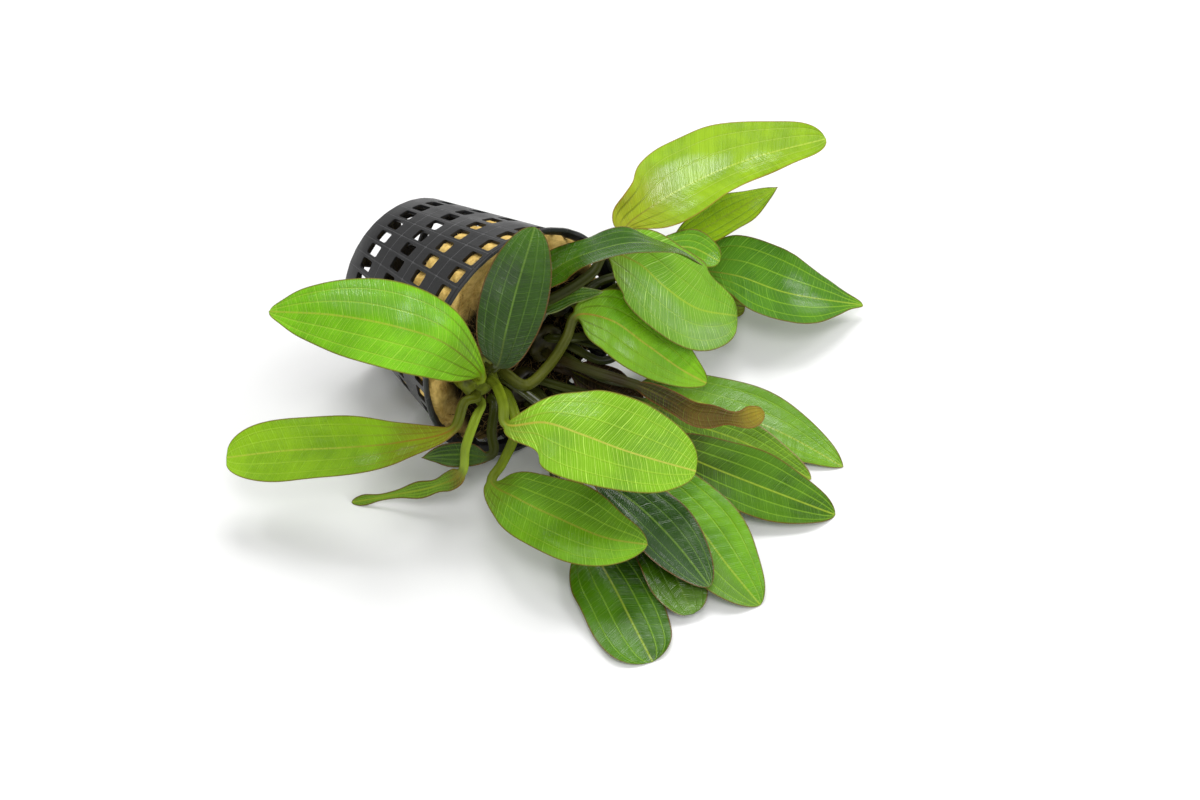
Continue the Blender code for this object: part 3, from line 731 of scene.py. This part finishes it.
leaves = [
    leaf("left_upper", "left", foot=(-3.0, 2.5), stalk=[],
         blade=[(-9, -13, 32), (-17, -15.5, 46), (-26, -15, 50), (-39.5, -10, 48), (-54.5, -4.5, 43)],
         outline=((0.06, 3.2, 2), (0.15, 6, 4.4), (0.28, 8.4, 7.4), (0.42, 9.4, 9.2), (0.6, 9, 9.4),
                  (0.84, 5.6, 5.8), (0.95, 2.4, 2.6)),
         curls=((0.6, 0.3, 1, -1.6),),
         faces=(0, -0.5, 0.85), slot="leaf_green"),
    leaf("left_lower", "left", foot=(-4.5, -1.0), stalk=[(-12.5, -16.5, 27)],
         blade=[(-15, -23.5, 26), (-26.5, -25.5, 24), (-38.5, -24.5, 21), (-52, -23, 18),
                (-65, -22.5, 15)],
         width=15.8, widest=0.66, fullness=1.15, faces=(0, -0.2, 1)),
    leaf("left_curled", "left", foot=(-3.8, -3.2), stalk=[(-10, -17.6, 23.7), (-12.5, -22.3, 18.5)],
         blade=[(-13.5, -24.7, 12.4), (-19.5, -24.5, 7.4), (-27.5, -24, 4), (-38.5, -23.5, 0.2)],
         outline=((0.05, 1.6, 1.8), (0.16, 1.9, 1.9), (0.27, 1.3, 1.2), (0.42, 1.8, 1.9),
                  (0.6, 0.8, 0.9), (0.75, 0.7, 0.7), (0.88, 1.2, 1.3), (0.96, 0.9, 0.9)),
         faces=(-0.4, -0.6, 0.6)),
    leaf("left_low", "left", foot=(-1.0, -4.8), stalk=[(-7, -17.5, 17.5), (-6.5, -20.5, 14.5)],
         blade=[(-8, -21, 13.5), (-12.5, -20.6, 13.7), (-17.5, -21, 14), (-22.5, -20.1, 11.9)],
         width=5.6, widest=0.42, fullness=1.8, faces=(0.3, -0.7, 0.6), slot="leaf_deep"),
    leaf("upright", "left", foot=(0.0, 3.5), stalk=[],
         blade=[(-5.5, -10.5, 32), (-3.5, -6.5, 39), (-1, -2, 48), (1.5, 0.5, 57), (3, 3.5, 61)],
         width=14.6, widest=0.47, fullness=0.95, faces=(0, -0.8, 0.5), slot="leaf_deep"),
    leaf("front_large", "left", foot=(0.0, 0.0), stalk=[(-4, -20.5, 31)],
         blade=[(-3, -27, 32), (5, -28, 34), (13, -30.5, 33), (21, -32, 30), (29, -32, 26),
                (37.5, -31, 21)],
         outline=((0.12, 3.2, 5.5), (0.25, 7.6, 9.6), (0.4, 10.6, 10.2), (0.6, 11, 8.8),
                  (0.78, 9.6, 7.2), (0.92, 6.6, 4.2)),
         curls=((0.32, 0.16, -1, -2.4), (0.1, 0.06, 1, 1.8)),
         faces=(0, -0.5, 0.85), slot="leaf_lime"),
    leaf("front_low", "left", foot=(2.2, -4.5), stalk=[(-1.5, -18, 20), (-4.5, -23, 14)],
         blade=[(-7, -26.5, 11.5), (-1, -32, 12.5), (8, -38.5, 14), (18, -44, 14.5), (27, -45.5, 14)],
         width=18.5, widest=0.5, faces=(0, -0.2, 1)),
    leaf("right_long", "left", foot=(3.0, 0.5),
         stalk=[(0.3, -11.2, 26.3), (5.5, -4.5, 25), (9.5, 2.5, 26.5)],
         blade=[(11.5, 6.5, 29), (19, 7, 27), (27, 5.5, 20.5), (35, 4.5, 13), (41, 4.5, 8)],
         outline=((0.06, 3.8, 4.2), (0.2, 7, 6.6), (0.4, 8, 7.4), (0.6, 7.6, 6.4), (0.8, 5.4, 4.2),
                  (0.93, 2.8, 2.2)),
         curls=((0.05, 0.12, 1, -1.5),),
         faces=(0.1, -0.5, 0.85)),
    leaf("front_right", "left", foot=(3.5, -2.2), stalk=[(3.5, -13, 22), (11.5, -19, 17)],
         blade=[(16.5, -26, 13), (25.5, -33.5, 11.5), (33, -41.5, 9.5), (40.5, -50, 5)],
         width=14, widest=0.5, faces=(0, -0.2, 1), slot="leaf_deep"),
    leaf("arched", "upper", foot=(-1.7, 2.2), stalk=[],
         blade=[(2, 4.5, 39.5), (8.5, 8.5, 43.5), (17, 9.5, 47.5), (24.5, 11, 48), (32, 13, 44),
                (39.5, 12.5, 39)],
         width=12.5, widest=0.4, faces=(0, 0.1, 1), tipFaces=(0, 0.5, 0.87), slot="leaf_deep"),
    leaf("right_broad", "upper", foot=(2.2, 1.2), stalk=[(15, 11.5, 37.5)],
         blade=[(18, 16, 39), (25, 16, 36), (31, 13.5, 31), (38, 14.3, 23), (48.5, 23.2, 9.8)],
         width=20.5, widest=0.46, fullness=1.05, faces=(0.35, -0.5, 0.8)),
    leaf("young", "upper", foot=(-0.6, -2.2), stalk=[],
         blade=[(4.5, 5.5, 31.5), (10, 9, 32.5), (17.5, 10.5, 32.5)],
         width=4, widest=0.4, faces=(0, -0.3, 1)),
    leaf("right_small", "back", foot=(0.0, 2.0), stalk=[(17, 15.5, 30.5), (23.5, 18.5, 30)],
         blade=[(29, 26, 28.3), (37, 28.2, 27.8), (44, 26, 25.4)],
         width=9, widest=0.6, faces=(0, -0.2, 1)),
    leaf("back_large", "back", foot=(2.0, -0.3), stalk=[(18.5, 14, 28), (24.5, 21, 27)],
         blade=[(22, 32.5, 28), (29.5, 38.5, 31), (40.5, 45, 33), (52.5, 50.5, 34), (69, 55.5, 35)],
         outline=((0.04, 4, 2), (0.1, 4.8, 4.6), (0.17, 7.2, 7), (0.25, 11, 8.2), (0.36, 12.8, 8.4),
                  (0.5, 12.6, 7), (0.65, 10.8, 5.2), (0.8, 8.6, 4.7), (0.92, 6, 4.2)),
         curls=((0.1, 0.08, -1, 2.2), (0.45, 0.12, -1, -1.2), (0.7, 0.14, 1, -1.2)),
         faces=(0, -0.1, 1), slot="leaf_lime"),
    leaf("back_under", "back", foot=(0.0, -2.2),
         stalk=[(19.5, 14, 24.5), (27, 23, 22.5), (32.5, 29, 22)],
         blade=[(34, 34, 22), (41, 39.5, 22), (49.5, 47, 21), (58.5, 54.5, 20)],
         width=10.5, widest=0.45, fullness=1.8, faces=(0, -0.1, 1), slot="leaf_lime"),
    leaf("right_back", "right", foot=(-0.8, 3.8),
         stalk=[(19.5, 9.5, 20.5), (27, 18, 18), (34.5, 26.5, 17)],
         blade=[(38.5, 31, 16), (48, 31, 15), (59.5, 28.5, 12), (78.5, 32.5, 3)],
         outline=((0.1, 7.5, 2.6), (0.2, 10.2, 4.8), (0.38, 10.8, 8), (0.53, 10.2, 8.2), (0.66, 8.6, 7),
                  (0.8, 6, 4.4), (0.92, 2.4, 1.7)),
         faces=(0, -0.2, 1)),
    leaf("right_hidden", "right", foot=(3.2, 1.6),
         stalk=[(19.5, 8.5, 16.5), (28.5, 20.5, 12), (37.5, 32.5, 10)],
         blade=[(41.5, 39.5, 9), (52, 42.5, 8), (63, 45.5, 4)],
         width=9, widest=0.5, faces=(0, -0.2, 1), slot="leaf_olive"),
    leaf("right_under", "right", foot=(3.4, -1.0), stalk=[(17.5, 7, 13), (26, 19, 8)],
         blade=[(33, 30.5, 4.5), (41.5, 33.5, 3.5), (51, 34.5, 0.2)],
         width=10, widest=0.6, faces=(0, -0.2, 1), slot="leaf_olive"),
    leaf("right_curled", "right", foot=(-2.2, 0.3), stalk=[(14.5, -2.5, 21)],
         blade=[(25.5, -5.5, 19), (32.5, -9, 18), (38, -13, 18), (43.5, -13.5, 18), (48.5, -14, 18),
                (53, -12, 18)],
         outline=((0.1, 1.6, 1.6), (0.35, 2.4, 2.2), (0.58, 2.7, 2.6), (0.74, 1.5, 1.5),
                  (0.88, 2.5, 2.5), (0.96, 1.8, 1.8)),
         faces=(0, -0.5, 0.8), slot="leaf_olive"),
    leaf("right_top", "right", foot=(1.6, -2.6), stalk=[(17, 0, 15.5)],
         blade=[(26, 1.5, 10.5), (38, 1.5, 5.5), (49, -1, 3), (60, -6, 1.5), (71.5, -13.5, 0.2)],
         width=17, widest=0.46, fullness=1.4, faces=(0, -0.05, 1)),
    leaf("old_brown", "right", foot=(-1.4, -3.2), stalk=[],
         blade=[(10.5, 3.2, 13.5), (18, 2.4, 9.2), (27, 1, 5)],
         width=10, widest=0.45, faces=(0, -0.3, 1), slot="leaf_brown"),
    leaf("right_middle", "front", foot=(0.8, 3.2), stalk=[(16.5, -3, 12.5)],
         blade=[(26, -3.5, 11), (37, -7.5, 8.5), (49.5, -10.5, 5), (64, -18, 1.5)],
         width=11, widest=0.5, faces=(0, -0.1, 1), slot="leaf_olive"),
    leaf("right_bottom", "front", foot=(3.2, 0.3), stalk=[(17, -8, 10.5)],
         blade=[(29, -14, 9.5), (40, -18.5, 7.5), (52, -23, 5.5), (69, -27, 0.2)],
         width=16, widest=0.5, faces=(0, -0.2, 1)),
    leaf("front_outer", "front", foot=(0.2, 0.2), stalk=[(14.5, -16, 10)],
         blade=[(25.5, -21, 9.5), (36.5, -33, 7.5), (44.5, -44.5, 5), (51.5, -51.5, 0.2)],
         width=18, widest=0.5, faces=(0, -0.2, 1)),
    leaf("front_wet", "front", foot=(1.6, -2.6), stalk=[(11, -13.5, 6), (20, -26, 3.5)],
         blade=[(26, -33, 4.6), (31, -42, 4.8), (36.8, -55, 1.8)],
         width=13, widest=0.55, faces=(0, -0.1, 1), fullness=0.9, slot="leaf_deep"),
    leaf("front_bottom", "front", foot=(-1.6, -2.6), stalk=[(5, -11.5, 7.5), (8.5, -27, 4)],
         blade=[(14.5, -37, 2.2), (19.8, -47.5, 1.5), (23.4, -56, 1.2), (28, -66.3, 0.2)],
         outline=((0.1, 5.6, 6.4), (0.3, 7.8, 9), (0.5, 8, 9.2), (0.7, 7.8, 9), (0.85, 6.8, 8),
                  (0.95, 4.5, 5.5)),
         faces=(0, -0.1, 1)),
]


# A smooth curve through the points: many short steps, and how far along it each of them lies
def curveThrough(points):
    ends = [2 * points[0] - points[1], *points, 2 * points[-1] - points[-2]]
    line = [points[0]]
    for a, b, c, d in zip(ends, ends[1:], ends[2:], ends[3:]):
        t1 = math.sqrt((b - a).length)
        t2 = t1 + math.sqrt((c - b).length)
        t3 = t2 + math.sqrt((d - c).length)
        for step in range(1, leafMesh["curveSteps"] + 1):
            t = t1 + (t2 - t1) * step / leafMesh["curveSteps"]
            ab = a.lerp(b, t / t1)
            bc = b.lerp(c, (t - t1) / (t2 - t1))
            cd = c.lerp(d, (t - t2) / (t3 - t2))
            abc = ab.lerp(bc, t / t2)
            bcd = bc.lerp(cd, (t - t1) / (t3 - t1))
            line.append(abc.lerp(bcd, (t - t1) / (t2 - t1)))
    along = [0.0]
    for p, q in zip(line, line[1:]):
        along.append(along[-1] + (q - p).length)
    return line, along


def pointAt(line, along, distance):
    distance = min(max(distance, 0), along[-1])
    i = next(k for k in range(1, len(along)) if along[k] >= distance - 1e-9)
    return line[i - 1].lerp(line[i], (distance - along[i - 1]) / (along[i] - along[i - 1]))


# Half widths left and right of the midrib at a share t of the blade's length, along a smooth curve
# through the outline's points. A place near an end counts for more, which makes the ends round.
def outlineHalfWidths(shape, t):
    reach = leafMesh["outlineReach"]
    spots = [(0, 0, 0), *shape["outline"], (1, 0, 0)]
    corners = [Vector((reach * math.acos(1 - 2 * s), left, right)) for s, left, right in spots]
    line, _ = curveThrough(corners)
    place = reach * math.acos(1 - 2 * t)
    i = next(k for k in range(1, len(line)) if line[k].x >= place - 1e-6)
    spot = line[i - 1].lerp(line[i], (place - line[i - 1].x) / (line[i].x - line[i - 1].x))
    return max(spot.y, 0), max(spot.z, 0)


# The same for a blade without an outline: a bulge that is widest where it should be
def bladeHalfWidths(shape, t):
    if shape["outline"]:
        return outlineHalfWidths(shape, t)
    rise = shape["fullness"] * shape["widest"]
    fall = shape["fullness"] * (1 - shape["widest"])
    most = shape["widest"] ** rise * (1 - shape["widest"]) ** fall
    half = shape["width"] / 2 * t**rise * (1 - t) ** fall / most
    return half, half


def midribPoints(shape):
    x, y, top = crowns[shape["crown"]]["top"]
    u, v = shape["foot"]
    wide = leafMesh["spread"]
    foot = potMatrix() @ (Vector((x + u, y + v, top + leafMesh["stalkRadius"] / 2)) * mm) / mm
    rise = potMatrix() @ (Vector((x + wide * u, y + wide * v, top + leafMesh["rise"])) * mm) / mm
    return [foot, rise] + [Vector(p) + mouthPlace for p in (*shape["stalk"], *shape["blade"])]


# How far the long veins draw the surface down, at a share x across the blade
def veinDip(x, half):
    return sum(math.exp(-((abs(abs(x) - place) * half / width) ** 2))
               for place, width in leafMesh["veins"])


def buildLeaf(shape):
    points = midribPoints(shape)
    line, along = curveThrough(points)
    base = along[(2 + len(shape["stalk"])) * leafMesh["curveSteps"]]
    total = along[-1]
    stalkCount = max(4, round(base / leafMesh["stalkSpacing"]))
    bladeCount = round((total - base) / leafMesh["bladeSpacing"])
    places = [base * k / stalkCount for k in range(stalkCount)]
    for k in range(bladeCount + 1):
        share = k / bladeCount - leafMesh["bunching"] * math.sin(2 * math.pi * k / bladeCount)
        places.append(base + (total - base) * share)
    bm = bmesh.new()
    bmesh.ops.create_cone(bm, cap_ends=True, segments=leafMesh["around"], radius1=1, radius2=1, depth=2)
    lengthwise = [edge for edge in bm.edges if abs(edge.verts[0].co.z - edge.verts[1].co.z) > 1]
    bmesh.ops.subdivide_edges(bm, edges=lengthwise, cuts=len(places) - 2, use_grid_fill=True)
    frames = [sectionFrame(shape, line, along, base, place) for place in places]
    upper = bm.verts.layers.float.new("upper")
    halfWidth = bm.verts.layers.float.new("halfWidth")
    share = bm.loops.layers.uv.new("share")
    size = bm.loops.layers.uv.new("size")
    marks = {}
    for vert in bm.verts:
        section = frames[round((vert.co.z + 1) / 2 * (len(places) - 1))]
        x = vert.co.x / vert.co.xy.length
        over = vert.co.y / vert.co.xy.length
        half = section["halves"][x > 0]
        marks[vert] = (x, section["t"], x * half, section["place"] - base)
        vert[upper] = over
        vert[halfWidth] = half
        vert.co = sectionPoint(shape, section, x, over) * mm
    for face in bm.faces:
        for loop in face.loops:
            x, t, xSize, ySize = marks[loop.vert]
            loop[share].uv = (x, t)
            loop[size].uv = (xSize, ySize)
    bmesh.ops.recalc_face_normals(bm, faces=bm.faces)
    look = {**leafLook, **looks[shape["name"]]}
    addPiece("blade_" + shape["name"], bm, leafMaterial(shape["name"], look),
             ["leaf_" + shape["name"]])


def sectionFrame(shape, line, along, base, place):
    blade = along[-1] - base
    t = min(max(0, (place - base) / blade), 1)
    forward = (pointAt(line, along, place + 1) - pointAt(line, along, place - 1)).normalized()
    face = Vector(shape["faces"]).lerp(Vector(shape["tipFaces"]), t)
    side = forward.cross(face).normalized()
    stalk = leafMesh["stalkRadius"] * (1 - t) ** leafMesh["stalkFade"]
    blades = bladeHalfWidths(shape, t)
    return {
        "place": place,
        "t": (place - base) / blade,
        "middle": pointAt(line, along, place),
        "side": side,
        "up": side.cross(forward),
        "blades": blades,
        "halves": [max(math.hypot(stalk, half), 0.12) for half in blades],
        "stalk": leafMesh["stalkFlatness"] * leafMesh["stalkRadius"] * (1 - t) ** leafMesh["stalkSink"],
        "stalkShare": (1 - t) ** leafMesh["channelFade"],
    }


def sectionPoint(shape, section, x, over):
    t = max(0, section["t"])
    blade = section["blades"][x > 0]
    half = section["halves"][x > 0]
    flat = leafMesh["bladeThickness"] / 2 * (1 - leafMesh["bladeThinning"] * t) * min(1, half)
    depth = max(flat, section["stalk"] * (1 - abs(x)) ** leafMesh["stalkShoulder"])
    broad = min(1, blade / leafMesh["broadFrom"])
    waveTurn = 2 * math.pi * (shape["waves"] * t + shape["phase"]) + (x > 0) * leafMesh["waveShift"]
    lift = shape["cup"] * blade * abs(x) ** leafMesh["cupCurve"]
    lift -= shape["quilt"] * veinDip(x, half) * broad
    lift += shape["wave"] * x * x * broad * math.sin(waveTurn)
    for place, spread, side, height in shape["curls"]:
        if x * side > 0:
            lift += height * x * x * math.exp(-(((t - place) / spread) ** 2))
    channel = leafMesh["channel"] * section["stalkShare"] * max(over, 0) * math.exp(-((2 * x) ** 2))
    rise = section["up"] * (lift + depth * over - channel)
    point = section["middle"] + section["side"] * half * x + rise
    point.z = max(point.z, depth * (1 + over))  # nothing goes below the floor
    return point


def leafMaterial(name, look):
    skin, shader = makeMaterial("leafSkin_" + name, Coat_Weight=look["wet"],
                                    Coat_Roughness=0.12, Specular_IOR_Level=look["specular"])
    place = addNode(skin, "TexCoord").outputs["Object"]
    shareUv = addNode(skin, "UVMap", uv_map="share").outputs[0]
    shareMap = addNode(skin, "SeparateXYZ", {0: shareUv})
    sizeMap = addNode(skin, "UVMap", uv_map="size").outputs[0]
    size = addNode(skin, "SeparateXYZ", {0: sizeMap})
    half = addNode(skin, "Attribute", attribute_name="halfWidth").outputs["Fac"]
    upper = addNode(skin, "Attribute", attribute_name="upper").outputs["Fac"]
    x, t = shareMap.outputs[0], shareMap.outputs[1]
    across = calc(skin, "ABSOLUTE", x)

    def veinAt(position, thin, wide):
        away = calc(skin, "ABSOLUTE", minus(skin, across, position))
        return between(skin, times(skin, away, half), thin, wide, 1.0, 0.0)

    cloud = noiseOf(skin, place, 110, 3)
    fine = noiseOf(skin, sizeMap, 3.2, 3)
    drift = noiseOf(skin, sizeMap, 0.16, 1)
    isBlade = between(skin, t, 0.0, 0.06)
    cloudy = minus(skin, cloud, 0.5)

    # Cross veins run from the midrib outward and a little towards the tip, at uneven distances.
    slope = times(skin, calc(skin, "ABSOLUTE", size.outputs[0]), veinLook["slope"])
    straight = minus(skin, size.outputs[1], slope)
    straight = plus(skin, straight, times(skin, drift, veinLook["drift"]))
    uneven = times(skin, calc(skin, "SINE", times(skin, straight, 2.3)), 0.16)
    run = plus(skin, straight, plus(skin, uneven, times(skin, fine, 0.08)))
    side = between(skin, x, -0.05, 0.05, 0.0, 7.0)
    cell = {0: times(skin, run, 0.4), 1: side, 2: across}
    patches = noiseOf(skin, addNode(skin, "CombineXYZ", cell).outputs[0], 2.2, 2)
    strength = between(skin, patches, 0.35, 0.6, 0.4, 1.0)
    toCoarse = calc(skin, "PINGPONG", run, veinLook["coarseEvery"])
    toFine = calc(skin, "PINGPONG", run, veinLook["fineEvery"])
    coarse = times(skin, between(skin, toCoarse, 0.02, 0.17, 1.0, 0.0), strength)
    ladder = calc(skin, "MAXIMUM", coarse, between(skin, toFine, 0.0, 0.11, 0.45, 0.0))
    ladder = times(skin, ladder, isBlade)

    midrib = veinAt(*veinLook["midrib"])
    inner, outer = (veinAt(*values) for values in veinLook["long"])
    veins = times(skin, calc(skin, "MAXIMUM", inner, outer), isBlade)
    edge = times(skin, minus(skin, 1.0, across), half)
    uneasyEdge = minus(skin, edge, times(skin, fine, 0.3))
    margin = between(skin, uneasyEdge, -0.05, 0.28, 1.0, 0.0)
    wandering = plus(skin, t, times(skin, cloudy, 0.3))
    nearBase = between(skin, wandering, 0.0, look["baseReach"], 1.0, 0.0)
    nearTip = between(skin, wandering, look["tipFrom"], 1.0)
    darkVein = between(skin, t, 0.1, look["veinReach"], 1.0, 0.0)
    under = between(skin, upper, -0.3, 0.05, 1.0, 0.0)
    # The tint of one half: on leaves with a pale or grey half it is a painted sheen, and on front_low a
    # darker half
    halfPlace = plus(skin, times(skin, x, look["halfSide"]), times(skin, cloudy, 0.8))
    otherHalf = between(skin, halfPlace, -0.15, 0.35, 0.0, look["halfShare"])

    mottle = plus(skin, times(skin, cloud, 0.7), times(skin, fine, 0.3))
    tone = mixColour(skin, between(skin, mottle, 0.38, 0.62), look["lamina"], look["lamina2"])
    tone = mixColour(skin, otherHalf, tone, look["half"])
    # On front_wet the tip tint is a painted sheen
    for place, part in ((nearTip, "tip"), (nearBase, "base"), (ladder, "ladder")):
        tone = mixColour(skin, times(skin, place, look[part + "Share"]), tone, look[part])
    veinTone = mixColour(skin, darkVein, look["vein"], look["veinBase"])
    tone = mixColour(skin, times(skin, veins, look["veinShare"]), tone, veinTone)
    midribTone = mixColour(skin, darkVein, look["midrib"], look["midribBase"])
    tone = mixColour(skin, times(skin, midrib, look["midribShare"]), tone, midribTone)
    tone = mixColour(skin, times(skin, under, 0.6), tone, look["under"])
    tone = mixColour(skin, times(skin, margin, look["marginShare"]), tone, look["margin"])
    specks = between(skin, cloud, 0.4, 0.6, 0.0, 0.5)
    stalkTone = mixColour(skin, specks, look["stalk"], look["stalkSpeck"])
    tone = mixColour(skin, between(skin, t, -0.04, 0.05, 1.0, 0.0), tone, stalkTone)
    connect(skin, tone, shader.inputs["Base Color"])
    low, high = look["roughness"]
    connect(skin, between(skin, cloud, 0.35, 0.65, low, high), shader.inputs["Roughness"])

    film = look["wet"]
    ragged = times(skin, minus(skin, mottle, 0.5), 2.2)
    for atX, atT, reachX, reachT, weight in look["films"]:
        away = [calc(skin, "DIVIDE", minus(skin, value, middle), reach)
                for value, middle, reach in ((x, atX, reachX), (t, atT, reachT))]
        squared = plus(skin, *(times(skin, value, value) for value in away))
        patch = between(skin, plus(skin, squared, ragged), 0.1, 1.1, weight, 0.0)
        film = calc(skin, "MAXIMUM", film, patch)
    if look["films"]:
        connect(skin, film, shader.inputs["Coat Weight"])

    relief = minus(skin, times(skin, fine, 0.3), times(skin, ladder, 0.7))
    relief = minus(skin, relief, times(skin, veins, 0.8))
    bump = addNode(skin, "Bump", {"Height": relief, "Distance": 0.00014, "Strength": 0.8})
    connect(skin, bump.outputs[0], shader.inputs["Normal"])
    connect(skin, bump.outputs[0], shader.inputs["Coat Normal"])
    return skin


addCamera()
addFloor()
addLights()
print("camera, floor and lights are in place")
finishPot()
buildPlug()
buildFibres("wool_fibres", wool["fibres"], False,
            woolMaterial("rockWoolFibre", *wool["fibreColours"]))
buildFibres("root_fibres", wool["roots"], True,
            woolMaterial("oldRoot", *wool["rootColours"]))
print("pot and rock wool are in place")
buildCrowns()
for shape in leaves:
    buildLeaf(shape)
print("leaves are in place")
